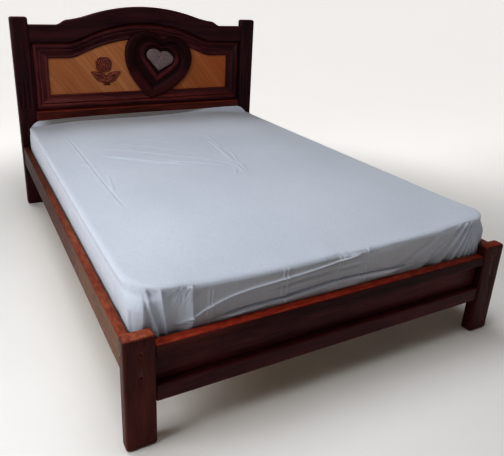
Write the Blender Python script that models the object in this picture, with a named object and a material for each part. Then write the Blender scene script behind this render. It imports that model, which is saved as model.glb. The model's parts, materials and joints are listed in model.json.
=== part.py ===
"""Double bed: dark hardwood frame with a carved, arched headboard, a framed footboard,
loose slats on ledgers, and a mattress under a fitted sheet.

Metres, +Z up. The foot end faces -Y and the headboard stands at +Y. The origin is on the
floor, in the middle of the bed's outline.
"""

import math

import bmesh
import bpy
from mathutils import Matrix, Vector

for old in list(bpy.data.objects):
    bpy.data.objects.remove(old, do_unlink=True)

# ---------------------------------------------------------------- driving dimensions
GAP = 0.0003  # fit between two pieces that touch

HALF_W = 0.735  # outer faces of the posts
FOOT_Y = -1.029  # front face of the foot posts
HEAD_Y = 0.971  # front face of the head posts
POST_W = 0.092  # foot posts across the bed
FOOT_POST_D = 0.045
FOOT_POST_H = 0.368
HEAD_POST_W = 0.090
HEAD_POST_D = 0.058
HEAD_POST_H = 1.055

RAIL_OUT = 0.730  # side rails: outer and inner faces, bottom and top
RAIL_IN = 0.700
RAIL_Z0 = 0.247
RAIL_Z1 = 0.350

FOOT_RAIL_Y0 = FOOT_Y + 0.006  # footboard's top and bottom rails
FOOT_RAIL_Y1 = FOOT_Y + 0.042
FOOT_TOP_Z0, FOOT_TOP_Z1 = 0.290, 0.329
FOOT_BOT_Z0, FOOT_BOT_Z1 = 0.141, 0.195
FOOT_PANEL_Y0, FOOT_PANEL_Y1 = FOOT_Y + 0.031, FOOT_Y + 0.039

FRAME_W = 0.090  # width of the moulded frame round the headboard's panel
PANEL_HALF = 0.555  # visible panel: half width, bottom, shoulder and crown
PANEL_Z0 = 0.632
PANEL_SHOULDER = 0.835
PANEL_CROWN = 0.940
ARCH_K = 0.63  # the arch falls by ARCH_K * x^2 from the crown
ARCH_X = 0.376  # where the arch turns into the reverse curve
CREST_SHOULDER = 1.016
CREST_CROWN = 1.119
MOULD_BACK = HEAD_Y + 0.0357
HEAD_PANEL_Y0, HEAD_PANEL_Y1 = HEAD_Y + 0.036, HEAD_Y + 0.044
CREST_Y0, CREST_Y1 = HEAD_Y + 0.010, HEAD_Y + 0.0442

HEART_X, HEART_Z = 0.096, 0.833  # heart carving: centre, width and lean
HEART_W = 0.428
HEART_LEAN = math.radians(-13)
ROSE_X, ROSE_Z = -0.243, 0.757

SLAT_Z0, SLAT_T, SLAT_W, SLATS = 0.275, 0.018, 0.090, 12
MATTRESS_X, MATTRESS_L, MATTRESS_Z1 = 0.690, 1.938, 0.486
MATTRESS_Y0 = FOOT_Y + 0.050
PADDING, BASE_PAD = 0.018, 0.015  # mattress: case walls and top, pad below the springs
SHEET_T = 0.0025


# ---------------------------------------------------------------- materials
def material(name, colour, roughness, metallic=0.0):
    m = bpy.data.materials.new(name)
    m.use_nodes = True
    b = m.node_tree.nodes["Principled BSDF"]
    b.inputs["Base Color"].default_value = (*colour, 1)
    b.inputs["Roughness"].default_value = roughness
    b.inputs["Metallic"].default_value = metallic
    return m


DARK = material("dark_wood", (0.055, 0.014, 0.011), 0.32)
PALE = material("panel_wood", (0.42, 0.19, 0.06), 0.42)
ROSE = material("rose_wood", (0.11, 0.020, 0.014), 0.4)
RAW = material("slat_wood", (0.52, 0.36, 0.19), 0.7)
STEEL = material("bolt_steel", (0.06, 0.06, 0.065), 0.45, 1.0)
SILVER = material("silver_leaf", (0.36, 0.34, 0.34), 0.5, 0.7)
TICKING = material("mattress_ticking", (0.72, 0.71, 0.68), 0.9)
COTTON = material("sheet_cotton", (0.62, 0.67, 0.75), 0.85)


# ---------------------------------------------------------------- mesh helpers
def group(name, at):
    ob = bpy.data.objects.new(name, None)
    ob.location = at
    bpy.context.scene.collection.objects.link(ob)
    return ob


# the frame stands still; the slats lift off their ledgers, and the bedding lifts off the slats
FRAME = group("bed_frame", (0, 0, 0))
DECK = group("slat_deck", (0, 0, SLAT_Z0))
BEDDING = group("bedding", (0, 0, SLAT_Z0 + SLAT_T))


def finish(name, bm, mat, smooth=True, cutter=False, parent=None):
    """Makes an object of the mesh, placed with its origin in the middle of its box."""
    bmesh.ops.recalc_face_normals(bm, faces=bm.faces)
    low = Vector(min(v.co[i] for v in bm.verts) for i in range(3))
    high = Vector(max(v.co[i] for v in bm.verts) for i in range(3))
    middle = (low + high) / 2
    bmesh.ops.translate(bm, verts=bm.verts, vec=-middle)
    mesh = bpy.data.meshes.new(name)
    bm.to_mesh(mesh)
    bm.free()
    if smooth:
        mesh.shade_smooth()
        mesh.set_sharp_from_angle(angle=math.radians(35))
    ob = bpy.data.objects.new(name, mesh)
    bpy.context.scene.collection.objects.link(ob)
    ob.parent = parent or FRAME
    ob.location = middle - ob.parent.location
    if mat:
        mesh.materials.append(mat)
    if cutter:
        ob.hide_render = True
        ob.display_type = "WIRE"
    return ob


def add_box(bm, lo, hi, bevel=0.0, segments=1):
    part = bmesh.new()
    bmesh.ops.create_cube(part, size=1)
    lo, hi = Vector(lo), Vector(hi)
    for v in part.verts:
        v.co = Vector(((lo[i] + hi[i]) / 2 + v.co[i] * (hi[i] - lo[i]) for i in range(3)))
    if bevel:
        bmesh.ops.bevel(part, geom=part.edges[:], offset=bevel, segments=segments, profile=0.5, affect="EDGES")
    join(bm, part)


def join(bm, part):
    bmesh.ops.recalc_face_normals(part, faces=part.faces)
    copy = bpy.data.meshes.new("join")
    part.to_mesh(copy)
    part.free()
    bm.from_mesh(copy)
    bpy.data.meshes.remove(copy)


def add_cylinder(bm, axis, at, start, end, radius, sides=12):
    """A rod along axis 'x' or 'y', through the point at, from start to end on that axis."""
    part = bmesh.new()
    bmesh.ops.create_cone(part, cap_ends=True, segments=sides, radius1=radius, radius2=radius, depth=abs(end - start))
    turn = Matrix.Rotation(math.pi / 2, 4, "Y" if axis == "x" else "X")
    place = Vector(at)
    place["xyz".index(axis)] = (start + end) / 2
    bmesh.ops.transform(part, matrix=Matrix.Translation(place) @ turn, verts=part.verts)
    join(bm, part)


def plank(name, lo, hi, mat, bevel=0.003, segments=2, parent=None):
    bm = bmesh.new()
    add_box(bm, lo, hi, bevel, segments)
    return finish(name, bm, mat, smooth=False, parent=parent)


def boolean(ob, other, operation):
    m = ob.modifiers.new(operation.lower(), "BOOLEAN")
    m.operation = operation
    m.object = other
    return m


def cut(ob, *fills):
    """Cuts from ob all that each fill(bm) draws. Shapes that cross each other go in two fills."""
    for fill in fills:
        bm = bmesh.new()
        fill(bm)
        boolean(ob, finish("cut_" + ob.name, bm, None, cutter=True), "DIFFERENCE")


def add(ob, fill):
    """Joins to ob all that fill(bm) draws, as one body."""
    bm = bmesh.new()
    fill(bm)
    boolean(ob, finish("add_" + ob.name, bm, None, cutter=True), "UNION")


def loft(rings):
    """A closed body through rings of equal point count, capped at both ends."""
    bm = bmesh.new()
    loops = [[bm.verts.new(p) for p in ring] for ring in rings]
    n = len(loops[0])
    for a, b in zip(loops, loops[1:]):
        for i in range(n):
            bm.faces.new((a[i], a[(i + 1) % n], b[(i + 1) % n], b[i]))
    bm.faces.new(loops[0])
    bm.faces.new(loops[-1])
    return bm


def side(s):
    return "left" if s < 0 else "right"


def span(s, a, b):
    """The two x limits of something between |x| = a and b on side s, in rising order."""
    return (s * a, s * b) if s > 0 else (-b, -a)


def sbox(bm, s, x, y, z, **k):
    lo, hi = span(s, *x)
    add_box(bm, (lo, y[0], z[0]), (hi, y[1], z[1]), **k)


# ---------------------------------------------------------------- headboard curves
def panel_top(x):
    """Upper edge of the pale panel: an arch, a reverse curve, then a level shoulder."""
    x = abs(x)
    if x <= ARCH_X:
        return PANEL_CROWN - ARCH_K * x * x
    drop = PANEL_CROWN - ARCH_K * ARCH_X**2 - PANEL_SHOULDER
    length = 2 * drop / (2 * ARCH_K * ARCH_X)
    t = min((x - ARCH_X) / length, 1)
    return PANEL_SHOULDER + drop * (1 - t) ** 2


def crest_top(x):
    """Upper edge of the crest: an arch that flattens to a lip, then an ogee step to the shoulder."""
    x = abs(x)
    lip_x, lip_z, step_x = 0.437, 1.0425, 0.497
    if x <= 0.33:
        return CREST_CROWN - 0.49 * x * x
    if x <= lip_x:
        z0, d0, d1 = CREST_CROWN - 0.49 * 0.33**2, -2 * 0.49 * 0.33, -0.12
        h = lip_x - 0.33
        t = (x - 0.33) / h
        return (
            z0 * (2 * t**3 - 3 * t**2 + 1)
            + h * d0 * (t**3 - 2 * t**2 + t)
            + lip_z * (3 * t**2 - 2 * t**3)
            + h * d1 * (t**3 - t**2)
        )
    t = min((x - lip_x) / (step_x - lip_x), 1)
    return lip_z + (CREST_SHOULDER - lip_z) * (3 * t * t - 2 * t**3)


def heart(full, sx=1.0, sz=None, lift=0.0):
    """The heart's outline as points (x, z), scaled about its centre: two round lobes, and two flanks that meet in
    a point. full is 0 for straight flanks, and more for flanks that swell outwards."""
    sz = sx if sz is None else sz
    d = HEART_W / (1 + math.sqrt(2))
    end = math.radians(-45 + 25 * full)
    tip = math.radians(45 - 11 * full)
    half = []
    for i in range(HEART_LOBE):  # over the lobe, from the notch
        a = math.radians(131) + (end - math.radians(131)) * i / (HEART_LOBE - 1)
        half.append(Vector((0.5 + math.sqrt(0.5) * math.cos(a), 0.5 + math.sqrt(0.5) * math.sin(a))))
    p, q = half[-1], Vector((0, -1))
    u, v = Vector((math.sin(end), -math.cos(end))), Vector((math.cos(tip), math.sin(tip)))
    den = u.x * v.y - u.y * v.x
    m = ((q.x - p.x) * v.y - (q.y - p.y) * v.x) / den if abs(den) > 1e-3 else (q - p).length / 2
    c = p + u * m
    for i in range(1, HEART_FLANK + 1):  # and down the flank to the point
        t = i / HEART_FLANK
        half.append(p * (1 - t) ** 2 + c * 2 * t * (1 - t) + q * t * t)
    loop = half + [Vector((-k.x, k.y)) for k in reversed(half[:-1])]
    co, si = math.cos(HEART_LEAN), math.sin(HEART_LEAN)
    out = []
    for k in loop:
        x, z = k.x * d * sx, (k.y - 0.46) * d * sz + lift
        out.append((HEART_X + co * x - si * z, HEART_Z + si * x + co * z))
    return out


HEART_LOBE, HEART_FLANK = 15, 12


def heart_prism(bm, scale, y0, y1):
    ring = heart(1.5, scale)
    join(bm, loft([[(x, y, z) for x, z in ring] for y in (y0, y1)]))


# ---------------------------------------------------------------- headboard
BED_BOLT_Z = 0.310
HEAD_BOLT_Y, FOOT_BOLT_Y = HEAD_Y + 0.0115, FOOT_Y + 0.0345
FLUTE_Z = (0.560, 0.730)

for s in (-1, 1):
    lo, hi = span(s, HALF_W - HEAD_POST_W, HALF_W)
    post = plank(
        f"head_post_{side(s)}", (lo, HEAD_Y, 0), (hi, HEAD_Y + HEAD_POST_D, HEAD_POST_H), DARK, 0.011, 3
    )

    def head_cuts(bm, s=s):
        inner = HALF_W - HEAD_POST_W
        for y0, y1, z0, z1 in (
            (0.0177, 0.0363, 0.9447, 1.0003),  # crest tenon
            (0.0157, 0.0343, 0.4797, 0.5283),  # ledge rail tenon
            (0.0217, 0.0383, 0.2147, 0.3153),  # cross rail tenon
        ):
            sbox(bm, s, (inner - 0.01, 0.6903), (HEAD_Y + y0, HEAD_Y + y1), (z0, z1))
        sbox(bm, s, (0.7047, 0.7253), (HEAD_Y - 0.01, HEAD_Y + 0.0203), (0.2647, 0.3353))  # side rail tenon
        add_cylinder(bm, "x", (0, HEAD_BOLT_Y, BED_BOLT_Z), s * 0.7305, s * 0.7450, 0.0078, 16)  # bolt's head
        middle = s * (HALF_W - HEAD_POST_W / 2)
        for k in (-1, 0, 1):  # flutes, hollow with round ends
            rings = []
            for dz, r in ((0, 0.0035), (0.004, 0.0065), (0.010, 0.0085)):
                rings.append((FLUTE_Z[0] + dz, r))
            for dz, r in ((0.010, 0.0085), (0.004, 0.0065), (0, 0.0035)):
                rings.append((FLUTE_Z[1] - dz, r))
            body = [
                [
                    (
                        middle + k * 0.0245 + r * math.cos(a),
                        HEAD_Y - 0.0035 + r * math.sin(a),
                        z,
                    )
                    for a in [2 * math.pi * j / 12 for j in range(12)]
                ]
                for z, r in rings
            ]
            join(bm, loft(body))

    def head_bolt(bm, s=s):
        add_cylinder(bm, "x", (0, HEAD_BOLT_Y, BED_BOLT_Z), s * 0.6985, s * 0.7330, 0.0043)

    cut(post, head_cuts, head_bolt)

inner_x = HALF_W - HEAD_POST_W - GAP

xs = sorted(
    set(
        [round(-inner_x + 2 * inner_x * i / 12, 5) for i in (0, 12)]
        + [s * v for s in (-1, 1) for v in (0.56, 0.50)]
        + [s * (0.437 + 0.060 * i / 6) for s in (-1, 1) for i in range(7)]
        + [0.42 * i / 14 for i in range(-14, 15)]
    )
)


def crest_section(x):
    low, top = panel_top(x) + FRAME_W + GAP, crest_top(x)
    y0, y1 = CREST_Y0, CREST_Y1
    return [
        (x, y0 + 0.004, low),
        (x, y0, low + 0.004),
        (x, y0, top - 0.010),
        (x, y0 + 0.003, top - 0.003),
        (x, y0 + 0.010, top),
        (x, y1 - 0.008, top),
        (x, y1 - 0.002, top - 0.002),
        (x, y1, top - 0.008),
        (x, y1, low),
    ]


crest = finish("crest_rail", loft([crest_section(x) for x in xs]), DARK)
add(
    crest,
    lambda bm: [
        sbox(bm, s, (0.60, 0.690), (HEAD_Y + 0.018, HEAD_Y + 0.036), (0.945, 1.000)) for s in (-1, 1)
    ],
)

# the frame's moulding: distance out from the panel's edge, and height over its back
PROFILE = [
    (0.0000, 0.0000),
    (0.0000, 0.0060),
    (0.0030, 0.0095),
    (0.0070, 0.0110),
    (0.0110, 0.0095),
    (0.0140, 0.0060),
    (0.0230, 0.0075),
    (0.0330, 0.0120),
    (0.0410, 0.0190),
    (0.0470, 0.0195),
    (0.0475, 0.0150),
    (0.0510, 0.0150),
    (0.0550, 0.0210),
    (0.0610, 0.0245),
    (0.0670, 0.0250),
    (0.0720, 0.0215),
    (0.0755, 0.0150),
    (0.0760, 0.0050),
    (0.0897, 0.0050),
    (0.0897, 0.0000),
]


def moulding(name, sections):
    """sections: functions that place (u, h) of the profile in space."""
    return finish(name, loft([[f(u, h) for u, h in PROFILE] for f in sections]), DARK)


def top_at(x):
    return lambda u, h: (x, MOULD_BACK - h, panel_top(x) + u)


def top_end(s):
    return lambda u, h: (s * (PANEL_HALF + u - GAP), MOULD_BACK - h, PANEL_SHOULDER + u)


inside = [x for x in xs if abs(x) <= 0.52]
top_moulding = moulding("moulding_top", [top_end(-1)] + [top_at(x) for x in inside] + [top_end(1)])
bottom_moulding = moulding(
    "moulding_bottom",
    [(lambda u, h, s=s: (s * (PANEL_HALF + u - GAP), MOULD_BACK - h, PANEL_Z0 - u)) for s in (-1, 1)],
)
for s in (-1, 1):
    moulding(
        f"moulding_{side(s)}",
        [
            lambda u, h, s=s: (s * (PANEL_HALF + u), MOULD_BACK - h, PANEL_Z0 - u + GAP),
            lambda u, h, s=s: (s * (PANEL_HALF + u), MOULD_BACK - h, PANEL_SHOULDER + u - GAP),
        ],
    )
for ob in (top_moulding, bottom_moulding):
    cut(ob, lambda bm: heart_prism(bm, 1.005, HEAD_Y - 0.02, HEAD_Y + 0.06))


def sheet_body(xs_, low, top, y0, y1):
    return loft([[(x, y0, low), (x, y0, top(x)), (x, y1, top(x)), (x, y1, low)] for x in xs_])


wide = [-0.60] + [x for x in xs if abs(x) <= 0.52] + [0.60]
finish(
    "head_panel",
    sheet_body(wide, PANEL_Z0 - 0.040, lambda x: panel_top(x) + 0.040, HEAD_PANEL_Y0, HEAD_PANEL_Y1),
    PALE,
)
wide = [-0.640] + [x for x in xs if abs(x) <= 0.56] + [0.640]
finish(
    "head_back_board",
    sheet_body(wide, 0.485, lambda x: panel_top(x) + FRAME_W + 0.030, HEAD_Y + 0.0446, HEAD_Y + 0.0506),
    DARK,
)

ledge = plank(
    "head_ledge_rail",
    (-inner_x, HEAD_Y + 0.004, 0.465),
    (inner_x, HEAD_Y + 0.0442, PANEL_Z0 - FRAME_W - GAP),
    DARK,
    0.006,
    3,
)
add(
    ledge,
    lambda bm: [
        sbox(bm, s, (0.60, 0.690), (HEAD_Y + 0.016, HEAD_Y + 0.034), (0.480, 0.528)) for s in (-1, 1)
    ],
)
cross = plank(
    "head_cross_rail", (-inner_x, HEAD_Y + 0.014, 0.190), (inner_x, HEAD_Y + 0.046, 0.335), DARK, 0.004, 2
)
add(
    cross,
    lambda bm: [
        sbox(bm, s, (0.60, 0.690), (HEAD_Y + 0.022, HEAD_Y + 0.038), (0.215, 0.315)) for s in (-1, 1)
    ],
)

# ---------------------------------------------------------------- heart and rose
# rings of the carved block: fullness and scale of the outline, and height over its back
HEART_RINGS = [
    (1.5, 1.000, 0.0000),
    (1.5, 1.000, 0.0140),
    (1.5, 0.975, 0.0225),
    (1.4, 0.930, 0.0275),
    (1.3, 0.865, 0.0285),
    (1.2, 0.800, 0.0250),
    (1.1, 0.745, 0.0180),
    (0.9, 0.700, 0.0100),
    (0.5, 0.620, 0.0085),
    (0.4, 0.585, 0.0100),
    (0.3, 0.560, 0.0155),
    (0.2, 0.515, 0.0180),
    (0.1, 0.470, 0.0155),
    (0.0, 0.440, 0.0085),
]
finish(
    "heart_carving",
    loft([[(x, MOULD_BACK - h, z) for x, z in heart(full, k)] for full, k, h in HEART_RINGS]),
    DARK,
)
seat = MOULD_BACK - 0.0085 - GAP
finish(
    "heart_inlay",
    loft(
        [
            [(x + 0.005 - 0.10 * (z - HEART_Z), seat - h, z) for x, z in heart(0.0, k, 0.82 * k, -0.002)]
            for k, h in ((0.395, 0.0), (0.395, 0.006), (0.370, 0.0095), (0.290, 0.0125), (0.150, 0.0138))
        ]
    ),
    SILVER,
)


def relief(name, outline, centre, mat, rise):
    """A carved relief on the panel: the outline, drawn in to its centre as it rises."""
    cx, cz = centre
    rings = []
    for k, h in ((1.0, 0.0), (1.0, 0.45), (0.90, 0.75), (0.62, 1.0), (0.25, 0.92)):
        rings.append(
            [(cx + (x - cx) * k, HEAD_PANEL_Y0 - GAP - h * rise, cz + (z - cz) * k) for x, z in outline]
        )
    return finish(name, loft(rings), mat)


def petals(cx, cz, rx, rz, lobes, depth, n):
    """The bloom's outline: a squarish round with shallow notches between its outer petals."""
    for i in range(n):
        a = 2 * math.pi * i / n
        r = 1 - depth * (1 - abs(math.sin(lobes * a / 2)))
        r /= (abs(math.sin(a)) ** 2.6 + abs(math.cos(a)) ** 2.6) ** (1 / 2.6)
        yield cx + rx * r * math.sin(a), cz + rz * r * math.cos(a)


def leaf(x0, z0, x1, z1, width, n=12):
    """A pointed leaf from its stalk (x0, z0) to its tip (x1, z1)."""
    d = Vector((x1 - x0, z1 - z0))
    q = Vector((-d.y, d.x)).normalized()
    edge = []
    for i in range(n + 1):
        t = i / n
        edge.append((t, width / 2 * (math.sin(math.pi * t**0.62) ** 0.9) + 0.0012))
    pts = [Vector((x0, z0)) + d * t + q * w for t, w in edge]
    pts += [Vector((x0, z0)) + d * t - q * w for t, w in reversed(edge)]
    return [tuple(p) for p in pts]


relief(
    "rose_bloom", list(petals(ROSE_X, ROSE_Z + 0.036, 0.0465, 0.0435, 7, 0.07, 42)), (ROSE_X, ROSE_Z + 0.036), ROSE, 0.014
)
relief(
    "rose_leaf_left",
    leaf(ROSE_X + 0.009, ROSE_Z - 0.052, ROSE_X - 0.075, ROSE_Z - 0.004, 0.048),
    (ROSE_X - 0.024, ROSE_Z - 0.033),
    ROSE,
    0.010,
)
relief(
    "rose_leaf_right",
    leaf(ROSE_X + 0.018, ROSE_Z - 0.052, ROSE_X + 0.098, ROSE_Z - 0.006, 0.048),
    (ROSE_X + 0.049, ROSE_Z - 0.034),
    ROSE,
    0.010,
)


def stalk(cx, cz):
    """The stalk below the leaves: a short foot, a little wider at its top."""
    for x, z in ((0, 10), (11, 10), (19, 9), (21, 4), (19, -3), (17, -8), (13, -9.5), (0, -9.5)):
        yield cx + x / 1000, cz + z / 1000
    for x, z in ((13, -9.5), (17, -8), (19, -3), (21, 4), (19, 9), (11, 10)):
        yield cx - x / 1000, cz + z / 1000


relief("rose_stem", list(stalk(ROSE_X + 0.0135, ROSE_Z - 0.0735)), (ROSE_X + 0.0135, ROSE_Z - 0.0735), ROSE, 0.010)

# ---------------------------------------------------------------- footboard
PEG_X = HALF_W - POST_W / 2
PEG_Z = (0.314, 0.240)
foot_inner = HALF_W - POST_W - GAP

for s in (-1, 1):
    lo, hi = span(s, HALF_W - POST_W, HALF_W)
    post = plank(f"foot_post_{side(s)}", (lo, FOOT_Y, 0), (hi, FOOT_Y + FOOT_POST_D, FOOT_POST_H), DARK, 0.009, 3)

    def foot_cuts(bm, s=s):
        inner = HALF_W - POST_W - 0.01
        sbox(bm, s, (inner, 0.7003), (FOOT_Y + 0.0137, FOOT_Y + 0.0283), (0.2957, 0.3263))  # top rail tenon
        sbox(bm, s, (inner, 0.6903), (FOOT_Y + 0.0137, FOOT_Y + 0.0283), (0.1487, 0.1873))  # bottom rail tenon
        sbox(bm, s, (inner, 0.7003), (FOOT_Y + 0.0307, FOOT_Y + 0.0393), (0.1872, 0.2975))  # panel tongue
        sbox(bm, s, (0.7047, 0.7253), (FOOT_Y + 0.0247, FOOT_Y + 0.060), (0.2647, 0.3353))  # side rail tenon
        add_cylinder(bm, "x", (0, FOOT_BOLT_Y, BED_BOLT_Z), s * 0.7305, s * 0.7450, 0.0078, 16)  # bolt's head

    def foot_bores(bm, s=s):
        add_cylinder(bm, "x", (0, FOOT_BOLT_Y, BED_BOLT_Z), s * 0.7012, s * 0.7330, 0.0043)
        for z, depth in zip(PEG_Z, (0.0365, 0.0405)):
            add_cylinder(bm, "y", (s * PEG_X, 0, z), FOOT_Y - 0.005, FOOT_Y + depth, 0.0063, 16)

    cut(post, foot_cuts, foot_bores)

    for z, depth, where in zip(PEG_Z, (0.036, 0.040), ("upper", "lower")):
        bm = bmesh.new()
        add_cylinder(bm, "y", (s * PEG_X, 0, z), FOOT_Y + 0.0003, FOOT_Y + depth, 0.0060, 16)
        finish(f"foot_peg_{side(s)}_{where}", bm, DARK)


def peg_cuts(which, y0, y1):
    def fill(bm):
        for s in (-1, 1):
            add_cylinder(bm, "y", (s * PEG_X, 0, PEG_Z[which]), y0, y1, 0.0063, 16)

    return fill


def panel_groove(z0, z1):
    return lambda bm: add_box(
        bm, (-0.80, FOOT_PANEL_Y0 - GAP, z0), (0.80, FOOT_PANEL_Y1 + GAP, z1)
    )


rail = plank(
    "foot_top_rail",
    (-foot_inner, FOOT_RAIL_Y0, FOOT_TOP_Z0),
    (foot_inner, FOOT_RAIL_Y1, FOOT_TOP_Z1),
    DARK,
    0.005,
    3,
)
add(
    rail,
    lambda bm: [
        sbox(bm, s, (0.60, 0.700), (FOOT_Y + 0.014, FOOT_Y + 0.028), (0.296, 0.326)) for s in (-1, 1)
    ],
)
cut(rail, peg_cuts(0, FOOT_Y + 0.005, FOOT_Y + 0.035), panel_groove(0.280, 0.2978))

rail = plank(
    "foot_bottom_rail",
    (-foot_inner, FOOT_RAIL_Y0, FOOT_BOT_Z0),
    (foot_inner, FOOT_RAIL_Y1, FOOT_BOT_Z1),
    DARK,
    0.005,
    3,
)
add(
    rail,
    lambda bm: [
        sbox(bm, s, (0.60, 0.690), (FOOT_Y + 0.014, FOOT_Y + 0.028), (0.149, 0.187)) for s in (-1, 1)
    ],
)
cut(rail, panel_groove(0.1869, 0.210))

panel = plank("foot_panel", (-0.700, FOOT_PANEL_Y0, 0.1875), (0.700, FOOT_PANEL_Y1, 0.2972), DARK, 0.0)
cut(panel, peg_cuts(1, FOOT_Y + 0.02, FOOT_Y + 0.05))

# ---------------------------------------------------------------- side rails, ledgers, bolts and screws
SCREW_Y = (-0.72, 0.0, 0.72)
SCREW_Z = 0.2605

for s in (-1, 1):
    lo, hi = span(s, RAIL_IN, RAIL_OUT)
    y0, y1 = FOOT_Y + FOOT_POST_D + GAP, HEAD_Y - GAP
    rail = plank(f"side_rail_{side(s)}", (lo, y0, RAIL_Z0), (hi, y1, RAIL_Z1), DARK, 0.004, 3)

    def tenons(bm, s=s, y0=y0, y1=y1):
        sbox(bm, s, (0.705, 0.725), (FOOT_Y + 0.025, y0 + 0.05), (0.265, 0.335))
        sbox(bm, s, (0.705, 0.725), (y1 - 0.05, HEAD_Y + 0.020), (0.265, 0.335))

    add(rail, tenons)

    def rail_holes(bm, s=s):
        for y in (FOOT_BOLT_Y, HEAD_BOLT_Y):
            add_cylinder(bm, "x", (0, y, BED_BOLT_Z), s * 0.695, s * 0.740, 0.0043)
        for y in SCREW_Y:
            add_cylinder(bm, "x", (0, y, SCREW_Z), s * 0.690, s * 0.7203, 0.0023)

    cut(rail, rail_holes)

    lo, hi = span(s, 0.674, RAIL_IN - GAP)
    ledger = plank(f"ledger_{side(s)}", (lo, FOOT_Y + 0.075, 0.2475), (hi, HEAD_Y - 0.035, SLAT_Z0 - GAP), RAW, 0.002, 1)

    def shank_holes(bm, s=s):
        for y in SCREW_Y:
            add_cylinder(bm, "x", (0, y, SCREW_Z), s * 0.660, s * 0.705, 0.0023)

    def head_holes(bm, s=s):
        for y in SCREW_Y:
            add_cylinder(bm, "x", (0, y, SCREW_Z), s * 0.660, s * 0.6780, 0.0048)

    cut(ledger, shank_holes, head_holes)

    for i, y in enumerate(SCREW_Y):
        bm = loft(
            [
                [
                    (s * x, y + r * math.cos(a), SCREW_Z + r * math.sin(a))
                    for a in [2 * math.pi * j / 12 for j in range(12)]
                ]
                for x, r in ((0.6748, 0.0044), (0.6775, 0.0044), (0.6776, 0.0020), (0.7165, 0.0020), (0.7200, 0.0004))
            ]
        )
        finish(f"ledger_screw_{side(s)}_{i + 1}", bm, STEEL)

    for y, end, where in ((FOOT_BOLT_Y, 0.7016, "foot"), (HEAD_BOLT_Y, 0.6990, "head")):
        bm = loft(
            [
                [
                    (s * x, y + r * math.cos(a), BED_BOLT_Z + r * math.sin(a))
                    for a in [2 * math.pi * (j + 0.5) / 12 for j in range(12)]
                ]
                for x, r in ((0.7345, 0.0050), (0.7335, 0.0072), (0.7312, 0.0074), (0.7311, 0.0040), (end, 0.0040))
            ]
        )
        finish(f"bed_bolt_{where}_{side(s)}", bm, STEEL)

# ---------------------------------------------------------------- slats and their middle support
first, last = FOOT_Y + 0.135, HEAD_Y - 0.100
for i in range(SLATS):
    y = first + (last - first) * i / (SLATS - 1)
    plank(
        f"slat_{i + 1:02d}",
        (-0.694, y - SLAT_W / 2, SLAT_Z0),
        (0.694, y + SLAT_W / 2, SLAT_Z0 + SLAT_T),
        RAW,
        0.002,
        1,
        DECK,
    )
plank("centre_beam", (-0.0225, FOOT_RAIL_Y1 + GAP, 0.225), (0.0225, HEAD_Y + 0.0137, SLAT_Z0 - GAP), RAW, 0.002, 1)
plank("beam_cleat_foot", (-0.045, FOOT_RAIL_Y1 + GAP, 0.150), (0.045, FOOT_RAIL_Y1 + 0.035, 0.225 - GAP), RAW, 0.002, 1)
plank("beam_cleat_head", (-0.045, HEAD_Y - 0.020, 0.190), (0.045, HEAD_Y + 0.0137, 0.225 - GAP), RAW, 0.002, 1)
plank("centre_leg", (-0.0275, -0.0275, 0), (0.0275, 0.0275, 0.225 - GAP), RAW, 0.003, 1)

# ---------------------------------------------------------------- mattress and fitted sheet
BED_Z0 = SLAT_Z0 + SLAT_T + 0.0005


def pillow_rings(grow, z0, z1, corner, edge):
    """Rings of a rounded slab, from its foot up to its top: round corners in plan, a rolled top edge."""
    steps = [(0.0, z0)]
    for k in range(6):
        a = math.pi / 2 * k / 5
        steps.append((edge * (1 - math.cos(a)), z1 - edge + edge * math.sin(a)))
    rings = []
    for inset, z in steps:
        hx, y0, y1 = MATTRESS_X + grow - inset, MATTRESS_Y0 - grow + inset, MATTRESS_Y0 + MATTRESS_L + grow - inset
        r = max(corner + grow - inset, 0.004)
        ring = []
        for cx, cy, a0 in (
            (hx - r, y1 - r, 0),
            (-hx + r, y1 - r, 90),
            (-hx + r, y0 + r, 180),
            (hx - r, y0 + r, 270),
        ):
            for j in range(6):
                a = math.radians(a0 + 90 * j / 5)
                ring.append((cx + r * math.cos(a), cy + r * math.sin(a), z))
        rings.append(ring)
    return rings


CORNER_R, EDGE_R = 0.085, 0.045
# a padded case, hollow where its springs sit, and the pad that closes it below
case = pillow_rings(0.0, BED_Z0, MATTRESS_Z1, CORNER_R, EDGE_R)
lining = pillow_rings(-PADDING, BED_Z0, MATTRESS_Z1 - PADDING, CORNER_R, EDGE_R - PADDING)
finish("mattress", loft(list(reversed(lining)) + case), TICKING, parent=BEDDING)
pad = pillow_rings(-PADDING - GAP, BED_Z0, BED_Z0 + BASE_PAD, CORNER_R, 0.002)
finish("mattress_base", loft(pad), TICKING, parent=BEDDING)

# the sheet: a shell round the mattress's top and sides, open below
outer = pillow_rings(SHEET_T + GAP, BED_Z0 + 0.004, MATTRESS_Z1 + SHEET_T + GAP, CORNER_R, EDGE_R + SHEET_T)
within = pillow_rings(GAP, BED_Z0 + 0.004, MATTRESS_Z1 + GAP, CORNER_R, EDGE_R)
bm = loft(list(reversed(within)) + outer)
finish("fitted_sheet", bm, COTTON, parent=BEDDING)
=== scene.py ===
"""Looks of the double bed: stained hardwood, a honey veneer panel with a carved heart and rose, pale slats, and a
mattress in a fitted cotton sheet, on a pale studio floor. Metres, +Z up, foot end at -Y."""

import json
import math

import bmesh
import bpy
import numpy as np
from mathutils import Matrix, Vector, noise


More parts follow.
